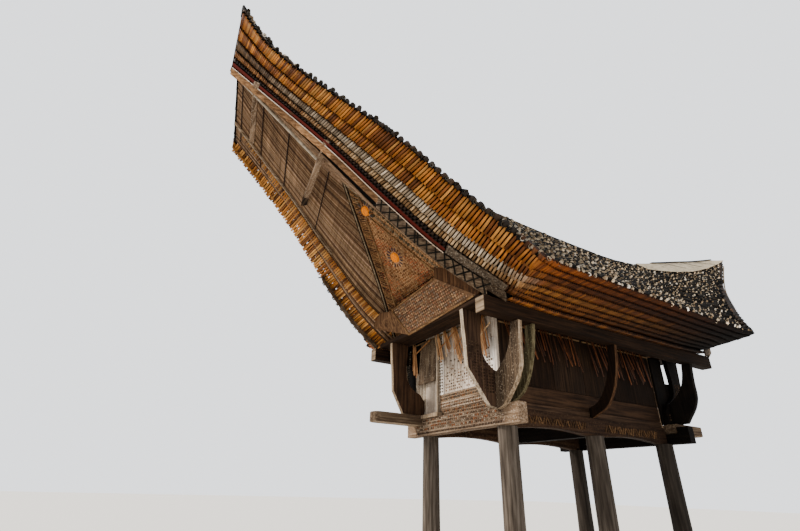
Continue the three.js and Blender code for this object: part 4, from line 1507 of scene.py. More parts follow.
def add_hoods(wood, cheek, parts):
    """The wedge of board under each gable, carved on its leaning face, with boards beside it."""
    for end in ENDS:
        settle(slab(f"hood_boards_{end}", end, HOOD_FACE, HOOD_BACK, wood), "old_wood",
               f"hood_{end}")
        for name, corners in (("cheek", HOOD_CHEEK), ("wing", HOOD_WING)):
            behind = [(x, y - HOOD_T, z) for x, y, z in corners]
            settle(slab(f"hood_{name}_{end}", end, corners, behind, cheek), "old_wood")
        places = np.array([turned(end, corner) for corner in HOOD_FACE])
        right = unit(places[1] - places[0])
        up = places[3] - places[0]
        up -= right * (up @ right)
        panel = Panel(tuple(places[0]), right, up)
        outline = panel.flat([at(*place) for place in places])
        flat = rows(outline[:, 0].min(), outline[:, 0].max(), 0, outline[:, 1].max(), 0.05, 0.045)
        middle = outline.mean(axis=0)
        flat = flat[within(flat, middle + (outline - middle) * 0.9)]
        carve(f"hood_lozenges_{end}", panel, parts["lozenge"], flat[::2], (0.042, 0.038),
              HOOD_TONES, height=0.01)
        carve(f"hood_rings_{end}", panel, parts["ring"], flat[1::2], (0.036, 0.034),
              HOOD_TONES, height=0.01)
        edge = middle + (outline - middle) * 0.96
        for name, low, high in (("foot", 0, 1), ("top", 3, 2), ("side", 0, 3)):
            edging(f"hood_{name}_edging_{end}", panel, parts["strip"], edge[low], edge[high],
                   0.022, BROWN_LINE)


# Granary box

# The walls' outer faces from the barn's middle, and the heights of their foot and top
WALL_X = 0.95
WALL_Y = 1.9
WALL_Z0 = 2.6003
WALL_Z1 = 4.05
# Where the panels of a long side meet, and where the upright boards of the back wall do
SIDE_JOINTS = [-1.8495, -1.37, -0.745, -0.04, 0.66, 1.23, 1.8495]
BACK_JOINTS = [-0.95, -0.62, -0.3, 0.02, 0.33, 0.64, 0.95]


def add_side_walls(upright, level):
    """Two boards lengthways with upright panels over them."""
    for side, sign in SIDES.items():
        panels, planks = [], []
        for y0, y1 in zip(SIDE_JOINTS, SIDE_JOINTS[1:]):
            face = WALL_X - rng.uniform(0, 0.004)
            panels.append(((0.9, y0 + 0.004, 2.955), (face, y1 - 0.004, WALL_Z1)))
        for z0, z1, face in ((WALL_Z0, 2.698, WALL_X), (2.703, 2.95, WALL_X - 0.003)):
            planks.append(((0.9, SIDE_JOINTS[0], z0), (face, SIDE_JOINTS[-1], z1)))
        for name, boxes, finish in (("wall_panels", panels, upright),
                                    ("wall_planks", planks, level)):
            boxes = [((sign * a[0], *a[1:]), (sign * b[0], *b[1:])) for a, b in boxes]
            boards(f"{name}_{side}", boxes, finish, "pale_board", f"{side}_wall")


# The front wall's boards and the level planks at its foot, each from low left to high right, and
# the heights of the rows carved on the planks
FRONT_BOARDS = [
    ((-0.95, 2.6003), (-0.9435, 3.36)), ((-0.9425, 2.6003), (-0.56, 3.36)),
    ((-0.95, 3.36), (-0.9, 4.05)), ((-0.71, 3.36), (-0.56, 4.05)), ((-0.9, 3.8), (-0.71, 4.05)),
    ((-0.56, 2.955), (-0.4, 4.05)), ((-0.38, 2.955), (0.1, 3.62)), ((0.105, 2.955), (0.5, 3.62)),
    ((0.505, 2.955), (0.9, 3.62)), ((-0.38, 3.625), (0.9, 4.05)), ((0.905, 2.955), (0.95, 4.05)),
]
FRONT_PLANKS = [((-0.56, 2.6003), (0.95, 2.712)), ((-0.56, 2.716), (0.95, 2.832)),
                ((-0.56, 2.836), (0.95, 2.951))]
CARVED_ROWS = [(2.62, 2.70), (2.73, 2.82), (2.85, 2.94)]
ROW_TONES = ["#8c7058", "#83796f", "#97826c", "#665343", "#93694a", "#70675c"]


def add_end_walls(board, level, rear, parts):
    """The front wall's boards, stile and carved planks; the back wall has upright boards."""
    for name, rows_of, finish in (("wall_boards", FRONT_BOARDS, board),
                                  ("wall_planks", FRONT_PLANKS, level)):
        boxes = [((x0 + 0.001, -WALL_Y, z0), (x1 - 0.001, -1.85, z1))
                 for (x0, z0), (x1, z1) in rows_of]
        boards(f"{name}_front", boxes, finish, "pale_board", "front_wall")
    boxes = [((x0 + 0.002, 1.85, 2.955), (x1 - 0.002, WALL_Y, WALL_Z1))
             for x0, x1 in zip(BACK_JOINTS, BACK_JOINTS[1:])]
    boards("wall_boards_back", boxes, rear, "pale_board", "back_wall")
    boxes = [((-0.95, 1.85, 2.6003), (0.95, WALL_Y, 2.77)),
             ((-0.95, 1.85, 2.775), (0.95, WALL_Y, 2.95))]
    boards("wall_planks_back", boxes, level, "pale_board", "back_wall")
    for end, sign in ENDS.items():
        panel = Panel((0, sign * WALL_Y, 0), (-sign, 0, 0), (0, 0, 1))
        left = -0.54 if end == "front" else -0.93
        for number, (z0, z1) in enumerate(CARVED_ROWS):
            flat = rows(left, 0.93, z0, z1, 0.045, 0.045)
            carve(f"wall_carving_{number + 1}_{end}", panel,
                  parts["lozenge" if number % 2 else "ring"], flat, (0.04, 0.038), ROW_TONES,
                  height=0.008)
        flat = rows(-0.36, 0.86, 2.98, 3.5, 0.05, 0.046)
        worn = 0.35 + 0.5 * np.clip((3.36 - flat[:, 1]) / 0.3, 0, 1)
        flat = flat[rng.random(len(flat)) < worn]
        carve(f"wall_speckle_{end}", panel, parts["ring"], flat, (0.036, 0.034),
              ["#a8937f", "#7d6c5d", "#c6b39e", "#5c4e43", "#94735a"], height=0.006, spread=0.5)
        if end == "front":
            flat = rows(-0.53, -0.42, 2.98, 4.0, 0.05, 0.05)
            carve("stile_carving", panel, parts["lozenge"], flat, (0.044, 0.044),
                  ["#8c8072", "#6d6256", "#a39887"], height=0.008)


# The hatch: its sides and top, its lean in degrees, its height and thickness
HATCH = {"x0": -1.08, "x1": -0.567, "top": 3.97, "lean": 4, "height": 0.77, "thick": 0.03}
HATCH_TONES = ["#8b887a", "#6f6d60", "#a6a298", "#5f5d53"]
# Boards at the corners: the pale ones at the front, and dark ones that are painted shade in the
# gaps beside the horns
WING_BOARDS = {"front": [((-1.29, -1.9, 2.661), (-0.9505, -1.865, 3.45)),
                         ((-0.915, -2.03, 2.6005), (-0.42, -1.901, 2.662))],
               "shade": [((-1.74, -1.84, 2.9), (-1.2, -1.82, 3.86))],
               "back": [((0.9505, 1.86, 2.6605), (0.985, 2.2, 3.86)),
                        ((0.955, 2.205, 2.6605), (0.985, 2.5, 3.42)),
                        ((-0.985, 1.86, 2.6605), (-0.9505, 2.2, 3.86))]}


def add_wings(pale, dark):
    """Short boards that close the corners between the end walls and the horn planks; the dark ones
    are painted shade.
    """
    boards("wing_boards_front", WING_BOARDS["front"], pale, "pale_board")
    boards("wing_board_shade", WING_BOARDS["shade"], dark, "dark_wood")
    boards("wing_boards_back", WING_BOARDS["back"], dark, "dark_wood")


def add_hatch(board, edge, post, parts):
    """The leaning hatch, carved, with a plain paler rim at its foot; the post beside it."""
    lean = math.radians(HATCH["lean"])
    up = (0, math.sin(lean), math.cos(lean))
    wide = HATCH["x1"] - HATCH["x0"]
    leaf = primitive("hatch_board", bpy.ops.mesh.primitive_cube_add, board, edge, size=1,
                     rotation=(-lean, 0, 0), scale=(wide, HATCH["thick"], HATCH["height"]))
    middle = np.array([HATCH["x0"] + wide / 2, -WALL_Y - 0.001, HATCH["top"]])
    middle -= np.array(up) * HATCH["height"] / 2
    out = np.array([0, -math.cos(lean), math.sin(lean)])
    middle += out * HATCH["thick"] / 2

    def hang():
        bpy.ops.mesh.select_all(action="SELECT")
        bpy.ops.transform.translate(value=at(*middle))
    in_edit_mode(leaf, hang)
    ease(leaf, 0.005)
    tint(leaf, paint("#f4ece2")[:3])
    settle(leaf, "pale_board", "front_hatch")
    boards("post_beside_hatch", [((-0.555, -1.955, 2.664), (-0.515, -1.902, 4.04))], post,
           "pale_board", "hatch_post")
    place = middle + np.array(up) * HATCH["height"] / 2 + out * HATCH["thick"] / 2
    panel = Panel(tuple(place), (1, 0, 0), up)
    flat = rows(HATCH["x0"] + 0.02, HATCH["x1"] - 0.02, -HATCH["height"] + 0.1, -0.05, 0.043,
                0.043)
    carve("hatch_rings", panel, parts["ring"], flat[::2], (0.038, 0.038), HATCH_TONES,
          height=0.008)
    carve("hatch_lozenges", panel, parts["lozenge"], flat[1::2], (0.038, 0.036), HATCH_TONES,
          height=0.008)
    rim = 0.04 - HATCH["height"]
    edging("hatch_rim", panel, parts["strip"], (HATCH["x0"] + 0.01, rim),
           (HATCH["x1"] - 0.01, rim), 0.07, ["#aaa295", "#b9b1a5"])


def wall_pole(name, low, high, material):
    """A thin straight pole between two points."""
    low, high = np.array(at(*low)), np.array(at(*high))
    along_pole = unit(high - low)
    x = unit(np.cross(along_pole, [0.1, 0.2, 1.0]))
    round_pole(name, low, high, x, np.cross(along_pole, x),
               lambda u: LATH_POLE_R * (1 - 0.12 * (u - 0.5)), 6, 8, material, "#b79a74")


# Bundles of split laths on the front wall: top and bottom of the bundle's middle, width, number
FRONT_LATHS = [((-1.3, 4.0), (-1.24, 3.38), 0.16, 7), ((-0.55, 4.1), (-0.4, 3.48), 0.16, 8),
               ((-0.3, 4.05), (-0.16, 3.55), 0.12, 5), ((-0.05, 4.07), (0.14, 3.38), 0.18, 8),
               ((0.3, 4.05), (0.36, 3.6), 0.1, 4), ((0.68, 4.06), (0.79, 3.34), 0.16, 8)]
CROSSING_LATHS = [((0.55, 3.6), (0.92, 3.83)), ((-0.42, 3.72), (0.05, 3.94)),
                  ((-1.2, 3.8), (-0.72, 3.97)), ((0.02, 3.62), (0.4, 3.9))]
LATH_Y = -1.94
LATH_T = 0.006
LATH_POLE_Z = {"front": 3.99, "side": 3.86}
LATH_POLE_R = 0.014
LATH_TONES = ["#e6b380", "#d19a66", "#f0cca0", "#b57e4e", "#dca471"]
# The same laths on the long sides and at the back, in darker tones as painted shade
SHADED_LATH_TONES = ["#6f3f1e", "#5c3418", "#84502a", "#42260f", "#553014"]


def lath_frames(tops, bottoms, widths, out):
    """Frames that hang flat laths between two rows of points; out is what their faces face."""
    tops, bottoms = np.asarray(tops, float), np.asarray(bottoms, float)
    length = np.linalg.norm(tops - bottoms, axis=1, keepdims=True)
    z = (tops - bottoms) / length
    y = np.broadcast_to(np.array(out, float), z.shape)
    y = unit(y - np.sum(y * z, 1)[:, None] * z)
    x = np.cross(y, z)
    middle = (tops + bottoms) / 2
    middle[:, 1] += MIDDLE_Y
    return np.stack([x * widths, y * LATH_T, z * length, middle], -1)


def add_laths(lath, pole):
    """Split laths and leaf ribs tied to a thin pole that runs along the top of each wall."""
    for end, sign in ENDS.items():
        low, high = (-1.3, 0.98) if end == "front" else (-0.98, 0.98)
        y = sign * (WALL_Y + LATH_POLE_R)
        wall_pole(f"lath_pole_{end}", (low, y, LATH_POLE_Z["front"]),
                  (high, y, LATH_POLE_Z["front"]), pole)
    for side, sign in SIDES.items():
        x = sign * (WALL_X + LATH_POLE_R)
        for name, low, high in (("front", -1.83, -0.04), ("back", 0.04, 1.83)):
            wall_pole(f"lath_pole_{side}_{name}", (x, low, LATH_POLE_Z["side"]),
                      (x, high, LATH_POLE_Z["side"]), pole)
    tops, bottoms = [], []
    for top, bottom, width, number in FRONT_LATHS:
        for share in (np.arange(number) + 0.5) / number - 0.5:
            fan = rng.uniform(0.9, 1.5)
            y = LATH_Y + rng.uniform(-0.02, 0.004)
            tops.append((top[0] + share * width * 0.7, y, top[1] + rng.uniform(-0.04, 0.03)))
            bottoms.append((bottom[0] + share * width * fan, y - rng.uniform(0, 0.03),
                            bottom[1] + rng.uniform(-0.03, 0.16)))
    for low, high in CROSSING_LATHS:
        tops.append((high[0], LATH_Y - 0.022, high[1]))
        bottoms.append((low[0], LATH_Y - 0.03, low[1]))
    tops, bottoms = np.array(tops), np.array(bottoms)
    widths = rng.uniform(0.018, 0.03, (len(tops), 1))
    frames = lath_frames(tops, bottoms, widths, (0, -1, 0))
    copies("laths_front", lath, frames, shades(len(tops), LATH_TONES, 0.15), "split_bamboo")
    half_turn = np.array([-1.0, -1.0, 1.0])
    frames = lath_frames(tops * half_turn, bottoms * half_turn, widths, (0, 1, 0))
    frames = frames[np.abs(frames[:, 0, 3]) < 0.9]
    copies("laths_back", lath, frames, shades(len(frames), SHADED_LATH_TONES, 0.15),
           "split_bamboo")
    for side, sign in SIDES.items():
        y = np.arange(-1.74, 1.7, 0.05)
        y = y + rng.uniform(-0.025, 0.025, len(y))
        depth = WALL_X + 2 * LATH_POLE_R + rng.uniform(0.002, 0.022, len(y))
        top_z = LATH_POLE_Z["side"] + rng.uniform(0.02, 0.07, len(y))
        reach = rng.uniform(0.34, 0.66, len(y))
        lean = np.radians(rng.uniform(4, 24, len(y)))
        tops = np.stack([depth, y, top_z], -1)
        bottoms = np.stack([depth + 0.004, y + reach * np.sin(lean),
                            top_z - reach * np.cos(lean)], -1)
        clear = (np.abs(y) > 0.06) & (np.abs(bottoms[:, 1]) > 0.06) & (bottoms[:, 1] < 1.84)
        clear &= np.sign(y) == np.sign(bottoms[:, 1])
        tops, bottoms = tops[clear], bottoms[clear]
        tops[:, 0] *= sign
        bottoms[:, 0] *= sign
        widths = rng.uniform(0.014, 0.03, (len(tops), 1))
        frames = lath_frames(tops, bottoms, widths, (sign, 0, 0))
        copies(f"laths_{side}", lath, frames, shades(len(tops), SHADED_LATH_TONES, 0.2),
               "split_bamboo")


# Sills, tongues, horns, ribs and plates

# Bars cut along the side sills, two leaning each way in turn: their spacing, height, place,
# the reach of a row from the middle of its bay, and the lean from upright in degrees
CHEVRON = {"pitch": 0.052, "height": 0.13, "z": 2.46, "reach": 0.68, "lean": 24}
BAYS = (-0.9, 0.9)
# The end grain of the sills begins here
SILL_END = 1.12


def add_sills(cross_wood, end_wood, side_wood, dark_wood, parts):
    """Carved sills: slanting bars along the sides, specks and a row of teeth across the ends."""
    for end, sign in ENDS.items():
        # At the back both finishes are near black, painted shade
        finishes = (cross_wood, end_wood) if end == "front" else (dark_wood, dark_wood)
        dressed(f"sill_{end}", f"{end}_sill", "old_wood", finishes, "y", bevel=0.01,
                cuts=[("x", SILL_END), ("x", -SILL_END)],
                finish=lambda centre, normal: int(abs(centre.x) > SILL_END))
        panel = Panel((0, sign * 2.0, 0), (-sign, 0, 0), (0, 0, 1))
        teeth = rows(-1.08, 1.08, 2.35, 2.39, 0.034, 0.04)
        carve(f"sill_teeth_{end}", panel, parts["tooth"], teeth, (0.018, 0.036),
              ["#2b211a", "#3a2d23", "#4c3c2f"], height=0.008)
        flat = rows(-1.08, 1.08, 2.405, 2.585, 0.048, 0.045)
        flat = flat[(flat[:, 0] > -0.9) | (flat[:, 1] < 2.48)]
        carve(f"sill_specks_{end}", panel, parts["ring"], flat, (0.04, 0.034),
              ["#a0917f", "#7d6d5c", "#b8ab9b", "#5c4c3d", "#8f5f40"], height=0.008)
    for side, sign in SIDES.items():
        dressed(f"sill_{side}", f"side_sill_{side}", "old_wood", (side_wood,), "x", bevel=0.01)
        panel = Panel((sign * 1.0, 0, 0), (0, sign, 0), (0, 0, 1))
        bars, turns = [], []
        for bay in BAYS:
            for k in range(int(2 * CHEVRON["reach"] / CHEVRON["pitch"])):
                bars.append((bay - CHEVRON["reach"] + (k + 0.5) * CHEVRON["pitch"],
                             CHEVRON["z"]))
                turns.append(math.radians(90 + CHEVRON["lean"] * (1 if (k // 2) % 2 else -1)))
        carve(f"sill_bars_{side}", panel, parts["bar"], bars, (CHEVRON["height"], 0.026),
              ["#6b5138", "#57422e", "#7d6145"], turn=turns, height=0.012, slot="old_wood")
        # Near black slots between the bars: painted shade in the carving's recesses
        slots = [(x + CHEVRON["pitch"] / 2, z) for x, z in bars]
        carve(f"sill_slots_{side}", panel, parts["lozenge"], slots, (0.02, 0.07),
              ["#120d0a", "#1c1510"], height=0.003, slot="dark_wood")
    dressed("sill_middle", "middle_sill", "old_wood", (dark_wood,), "y", bevel=0.01)


def add_tongues(wood, edge):
    """The rounded ends of two long boards that stick out over the sills."""
    for place in ("front_left", "back_right"):
        dressed(f"tongue_board_{place}", f"tongue_{place}", "old_wood", (wood, edge), "z",
                bevel=0.012)


# The outline of the carved grid on a front horn plank: away from the barn's middle, and up
HORN_FACE = [(1.95, 2.72), (2.26, 2.72), (2.5, 3.06), (2.53, 3.4), (2.34, 3.4), (2.3, 3.2),
             (2.18, 3.06), (2.0, 2.95)]


def add_horns(front, front_edge, speckled, back, back_edge, parts):
    """Horn planks with pale worn edges, their outer faces cut in a grid."""
    for end, ahead in ENDS.items():
        # The back horns take the near black finishes, painted shade at the back
        face, edge = (front, front_edge) if end == "front" else (back, back_edge)
        slot = "old_wood" if end == "front" else "dark_wood"
        for side, sign in SIDES.items():
            dressed(f"horn_{end}_{side}_along", f"{end}_horn_{side}", slot, (face, edge), "x",
                    bevel=0.008)
            across = speckled if end == "front" else back
            dressed(f"horn_{end}_{side}_across", f"side_horn_{end}_{side}", slot,
                    (across, edge), "y", bevel=0.008)
            panel = Panel((sign * 1.07, 0, 0), (0, sign, 0), (0, 0, 1))
            outline = np.array([(sign * ahead * y, z) for y, z in HORN_FACE])
            flat = rows(min(outline[:, 0]), max(outline[:, 0]), 2.72, 3.42, 0.05, 0.042)
            flat = flat[within(flat, outline)]
            carve(f"horn_grid_{end}_{side}", panel, parts["bar"], flat, (0.034, 0.028),
                  ["#4a3a2c", "#3b2e24", "#5b4a3a"], height=0.007, slot=slot)


# How far in front of the middle rib the one beside a front horn stands
CORNER_RIB_Y = -1.772


def add_ribs(face, edge, mossy):
    """A curved rib at the middle of each long side, and one more beside each front horn."""
    for side in SIDES:
        dressed(f"rib_{side}", f"side_rib_{side}", "old_wood", (face, edge), "y", bevel=0.008)
        rib = solid_copy(f"corner_rib_{side}", f"side_rib_{side}", mossy)

        def move():
            bpy.ops.mesh.select_all(action="SELECT")
            bpy.ops.transform.translate(value=(0, CORNER_RIB_Y, 0))
        in_edit_mode(rib, move)
        ease(rib, 0.008, angle_limit=SHARP)
        tint(rib, paint("#e6dfd8")[:3])
        settle(rib, "old_wood")


def add_plates(plate, tip, board, floor):
    """The long plates under the eaves, and the flat boards across the horns."""
    for side in SIDES:
        dressed(f"plate_board_{side}", f"plate_{side}", "old_wood", (plate, tip), "x",
                bevel=0.014, finish=lambda centre, normal: int(normal.y < -0.8))
    for end in ENDS:
        dressed(f"board_on_horns_{end}", f"cross_board_{end}", "old_wood", (board,), "z",
                bevel=0.01)
    dressed("floor_boards", "floor", "old_wood", (floor,), "z", bevel=0.004)


TRUNK_ROWS = {"front": -1.8, "middle": 0.0, "back": 1.8}
TRUNK_X = 0.95
TRUNK_HEIGHT = 2.3297
# The radius of a trunk at its foot, half way up and at its top, and how far it is uneven
TRUNK_RADII = [0.158, 0.143, 0.138]
UNEVEN = 0.0012


def add_trunks(material):
    """Round palm trunks, a little uneven, standing on the ground."""
    for row, y in TRUNK_ROWS.items():
        for side, sign in SIDES.items():
            phase = rng.uniform(0, 6.28, 3)

            def place(u, v):
                angle = v * 2 * np.pi
                radius = np.interp(u, [0, 0.5, 1], TRUNK_RADII)
                uneven = np.sin(3 * angle + phase[0]) + 0.7 * np.sin(5 * angle + 4 * u + phase[1])
                uneven = uneven + 1.2 * np.sin(2 * angle + 6 * u + phase[2])
                radius = radius - 0.0035 + UNEVEN * uneven
                return np.stack([sign * TRUNK_X + radius * np.cos(angle),
                                 y + MIDDLE_Y + radius * np.sin(angle), TRUNK_HEIGHT * u], -1)
            trunk_piece = bent_tube(f"trunk_{row}_{side}", place, 26, 36, material)
            activate(trunk_piece)
            bpy.ops.object.shade_smooth_by_angle(angle=math.radians(40))
            settle(trunk_piece, "pillar_trunk", f"pillar_{row}_{side}")


# Ridge

# Rows of culms on the ridge, and how far they reach down each side
RIDGE_ROWS = 9
RIDGE_HALF = 0.24
RIDGE_CULM_R = 0.028
# The leaf sheath: where along s it lies, half its width along it, its thickness, and how far it
# lies above the ridge
SHEET = {"from": 2.28, "to": 2.985, "width": [0.25, 0.38, 0.42, 0.36, 0.3, 0.26], "thick": 0.02,
         "lift": 0.075}
SHEET_SEAMS = [2.5, 2.66, 2.8]


def add_ridge(culm, sheet, dark):
    """Culms laid along the ridge, and at the back a pale sheet folded over them."""
    half = HALVES["right"]
    ends = np.concatenate([np.linspace(0.004, 0.99, 13), np.linspace(1.1, 1.9, 6),
                           np.linspace(2.0, 2.98, 9)])
    frames = []
    for row in range(RIDGE_ROWS):
        aside = row / (RIDGE_ROWS - 1) * 2 - 1
        for begin, end in zip(ends, ends[1:]):
            pair = np.array([begin, end]) + rng.uniform(-0.02, 0.02, 2)
            pair = np.clip(pair + [0, 0.02], 0.004, 2.985)
            slope = np.linalg.norm(half.edge(pair) - half.ridge(pair), axis=1)
            points = half.surface(pair, np.minimum(abs(aside) * RIDGE_HALF / slope, 0.28))
            points[:, 0] *= 1 if aside >= 0 else -1
            points[:, 1] += MIDDLE_Y
            points[:, 2] += 0.01 + 0.015 * (1 - abs(aside))
            z = points[0] - points[1]
            x = unit(np.cross([0, 0, 1.0], z))
            y = unit(np.cross(z, x))
            radius = RIDGE_CULM_R * rng.uniform(0.85, 1.1)
            frames.append(np.stack([x * radius, y * radius, z, points[0]], -1))
    copies("ridge_culms", culm, np.array(frames), shades(len(frames), ROOF_TONES, 0.3),
           "split_bamboo", "ridge_cap")

    def place(u, v):
        s = SHEET["from"] + (SHEET["to"] - SHEET["from"]) * u
        width = np.interp(u, np.linspace(0, 1, len(SHEET["width"])), SHEET["width"])
        upper = v < 0.5
        across = np.where(upper, 4 * v - 1, 3 - 4 * v)
        slope = np.linalg.norm(half.edge(s) - half.ridge(s), axis=1)
        points = half.surface(s, np.abs(across) * width * 1.6 / slope)
        points[:, 0] *= np.sign(across)
        points[:, 1] += MIDDLE_Y
        points[:, 2] += SHEET["lift"] + SHEET["thick"] * (upper | (np.abs(across) > 0.99))
        return points
    cover = bent_tube("ridge_sheet", place, 60, 32, sheet)
    tint(cover, paint("#f4efe6")[:3])
    settle(cover, "split_bamboo")

    def crest(s):
        points = half.ridge(s)
        points[:, 1] += MIDDLE_Y
        points[:, 2] += SHEET["lift"] + 0.03
        return points
    rail("ridge_sheet_cap", crest, steady(0.035, 0.0, 0.0), upward(0.012),
         (SHEET["from"] + 0.12, SHEET["to"]), dark, "dark_wood", steps=24)
    for number, seam in enumerate(SHEET_SEAMS):
        def across_sheet(a):
            s = seam + 0.08 * a
            slope = np.linalg.norm(half.edge(s) - half.ridge(s), axis=1)
            points = half.surface(s, a * 0.44 / slope)
            points[:, 1] += MIDDLE_Y
            points[:, 2] += SHEET["lift"] + SHEET["thick"] + 0.004
            return points
        rail(f"ridge_sheet_seam_{number + 1}", across_sheet, steady(0.0, 0.01, 0.0),
             upward(0.006), (0.04, 0.96), dark, "dark_wood")


FLOOR_SIZE = 160


def add_floor():
    """A plain pale floor, just below the feet of the pillars."""
    made, _, shader = new_material("plain pale floor", 0.9)
    shader.inputs["Base Color"].default_value = paint("#cfcac2")
    primitive("floor_plane", bpy.ops.mesh.primitive_plane_add, made, size=FLOOR_SIZE,
                       location=(0, 0, -0.002))


# Plain soft light: the sky's strength and the sun's, the place it shines from, and how wide it is
SKY_STRENGTH = 2.1
SUN_STRENGTH = 6.5
SUN_FROM = (-0.5, -0.8, 0.6)
SUN_WIDTH = math.radians(12)


def add_light():
    """A pale sky and a soft warm sun."""
    world = bpy.data.worlds.new("soft studio")
    bpy.context.scene.world = world
    world.use_nodes = True
    backdrop = world.node_tree.nodes["Background"]
    backdrop.inputs["Color"].default_value = paint("#f1f4f8")
    backdrop.inputs["Strength"].default_value = SKY_STRENGTH
    data = bpy.data.lights.new("overcast sun", "SUN")
    data.energy = SUN_STRENGTH
    data.angle = SUN_WIDTH
    data.color = (1.0, 0.94, 0.86)
    sun = bpy.data.objects.new("overcast sun", data)
    sun.matrix_world = Vector(SUN_FROM).to_track_quat("Z", "Y").to_matrix().to_4x4()
    bpy.context.scene.collection.objects.link(sun)


add_camera()
add_light()
add_floor()

# Finishes

GREY = ("#241c15", "#4d3f32", "#716352")
PALE = ("#3b3227", "#786957", "#a49480")
BROWN = ("#1d1209", "#432e1e", "#654a32")
# The next three palettes are painted shade: timber darkened for parts that stand in shade under
# the eaves, under the box and at the back
DARK = ("#030201", "#080504", "#120e0a")
SHADED_BROWN = ("#140d07", "#33241a", "#4f3b2b")
SHADED_DARK = ("#0a0603", "#20150d", "#38281b")
LIME = "#8d8478"
TAN = ("#38261a", "#74563b", "#a17e5c")
BLEACHED = ("#655a50", "#b3a79b", "#ddd4c9")
STRAW = ("#4a2f18", "#8a5c2e", "#b8843f")
MOSSY = ("#1c1a10", "#4a4330", "#6f6850")
SPECKLED = ("#33271d", "#6a5745", "#93806c")
SILL = ("#2a2018", "#5a493a", "#80705e")
HORN = ("#150d07", "#31221a", "#4b3829")
DIM = ("#1b1510", "#3a3026", "#584b3d")
grey_x = timber("weathered timber", "x", *GREY, speck=LIME)
grey_y = timber("weathered timber", "y", *GREY)
grey_z = timber("weathered timber", "z", *GREY, speck=LIME)
pale_x = timber("pale worn timber", "x", *PALE)
pale_y = timber("pale worn timber", "y", *PALE)
pale_z = timber("pale worn timber", "z", *PALE, speck="#b5ab9e")
brown_x = timber("stained timber", "x", *BROWN, speck="#7c6a56")
# The floor boards darken towards the back with painted shade
brown_y = timber("stained timber", "y", *BROWN, speck="#75654f", shade_to_back=0.6)
brown_z = timber("stained timber", "z", *BROWN)
# These planks, panels and plates under the eaves are darkened with painted shade, more so towards
# the back
side_y = timber("wall plank darkened by painted shade", "y", *SHADED_BROWN, shade_to_back=0.6)
side_z = timber("wall panel darkened by painted shade", "z", *SHADED_DARK, shade_to_back=0.8)
plate_y = timber("smoked plate under the eaves", "y", *SHADED_DARK, shade_to_back=0.4)
tan_y = timber("sheltered timber", "y", *TAN)
tan_z = timber("sheltered timber", "z", *TAN)
straw_y = timber("straw-coloured timber", "y", *STRAW)
bleached_z = timber("bleached timber", "z", *BLEACHED, speck="#ddd5ca")
worn_x = timber("speckled timber", "x", *SPECKLED, speck="#b9ad9d")
mossy_z = timber("damp timber with moss", "z", *MOSSY, speck="#7c7a5c")
shaded_x = timber("shaded timber", "x", *SHADED_DARK)
# Near black timber, painted shade: the shade boards, the back horns and sills, the middle sill and
# the ridge sheet's cap and seams
dark_z = timber("timber darkened by painted shade", "z", *DARK)
dark_y = timber("timber darkened by painted shade", "y", *DARK)
dark_x = timber("timber darkened by painted shade", "x", *DARK)
worn_y = timber("speckled timber", "y", *DIM, speck="#8d8272")
sill_x = timber("speckled sill", "x", *SILL, speck="#a4978a")
# The side sills are darkened with painted shade, more so towards the back
sill_y = timber("side sill darkened by painted shade", "y", *HORN, speck="#6c5c49", shade_to_back=0.6)
horn_z = timber("stained horn plank", "z", *HORN)
dim_z = timber("speckled horn plank", "z", *DIM, speck="#837769")
black_paint = timber("black paint worn off timber", "x", *GREY, coat="#0b0908")
red_paint = timber("red paint worn off timber", "y", *BROWN, coat="#4a1610")
white_paint = timber("white paint worn off timber", "y", *PALE, coat="#bfae9f")
carved_wood = carved("carved wood, rubbed with earth colours", "#5d544c", "#c4bcb2")
carved_sun = carved("carved wood, orange earth", "#a8500a", "#e0800c")
culm_skin = bamboo("split bamboo, sheltered", "#5b4f43", "#d9cfc4")
culm_cut = bamboo("split bamboo, cut ends", "#221b15", "#6f6557", 0.8)
# The hollows are near black, painted shade inside each culm
culm_hollow = bamboo("split bamboo, hollow of the culm", "#070504", "#120e0b", 0.95)
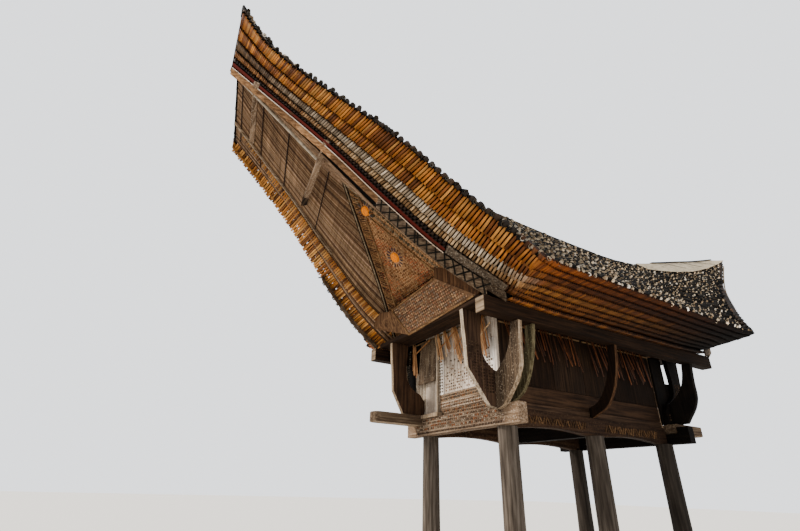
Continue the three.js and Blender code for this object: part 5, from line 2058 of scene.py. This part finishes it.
# The roof culms' skin is weathered and also near black as painted shade in the gaps between the
# cut ends; their hollows are painted shade too
roof_skin = bamboo("weathered bamboo, skin darkened by painted shade", "#070605", "#18140f", 0.9)
roof_cut = bamboo("weathered bamboo, cut ends", "#a09482", "#fff4e4", 0.85)
roof_hollow = bamboo("weathered bamboo, hollow of the culm", "#070605", "#14110e", 0.95)
pole_bamboo = bamboo("bamboo pole, bleached", "#6d6459", "#a89e90", 0.6)
pile_bamboo = timber("bamboo pile in shade", "y", "#0c0906", "#1d150e", "#32241a")
sheet_leaf = timber("bleached leaf sheath over the ridge", "y", "#6b6152", "#988d7b", "#b9ae9b",
                    stain="#5a5042")
trunk = palm_trunk()

# Pieces made once and copied

culm = culm_template("culm", 6, 0.3, 0.06, culm_skin, culm_cut, culm_hollow)
roof_culm = culm_template("roof culm", 6, 0.62, 0.1, roof_skin, roof_cut, roof_hollow)
slat = slat_template("slat", culm_skin)
lath = slat_template("lath", culm_skin)
batten = slat_template("batten", culm_skin)
MOTIFS = {
    "lozenge": stud_template("lozenge", 4, 0.16, 0.5, carved_wood),
    "ring": stud_template("ring", 8, 0.14, 0.6, carved_wood),
    "bar": bar_template("bar", (0.8, 0.7, 1), carved_wood),
    "tooth": bar_template("tooth", (0.4, 0.7, 1), carved_wood),
    "strip": bar_template("strip", (1, 0.9, 1), carved_wood),
    "sun": stud_template("sun", 20, 0.12, -0.4, carved_sun),
}

add_verge_layers(culm)
add_roof_ends(roof_culm)
add_roof_piles(pile_bamboo)
add_ridge(roof_culm, sheet_leaf, dark_x)
add_ceilings(slat, batten)
add_fringe(culm, pale_y)
add_fascias(tan_y, straw_y, red_paint, white_paint)
add_lattice(grey_y, worn_y, MOTIFS)
add_verge_bead(pale_y)
add_pole(pole_bamboo)
add_ties(worn_x, black_paint, grey_x)
add_gables(tan_z, MOTIFS)
add_hoods(brown_x, brown_z, MOTIFS)
add_side_walls(side_z, side_y)
add_end_walls(bleached_z, worn_x, grey_z, MOTIFS)
add_wings(pale_z, dark_z)
add_hatch(grey_z, pale_z, pale_z, MOTIFS)
add_laths(lath, pole_bamboo)
add_sills(sill_x, worn_x, sill_y, dark_x, MOTIFS)
add_tongues(pale_y, grey_y)
add_horns(horn_z, pale_z, dim_z, dark_z, dark_y, MOTIFS)
add_ribs(side_z, brown_z, mossy_z)
add_plates(plate_y, pale_x, shaded_x, brown_y)
add_trunks(trunk)
discard(culm, roof_culm, slat, lath, batten, *MOTIFS.values())
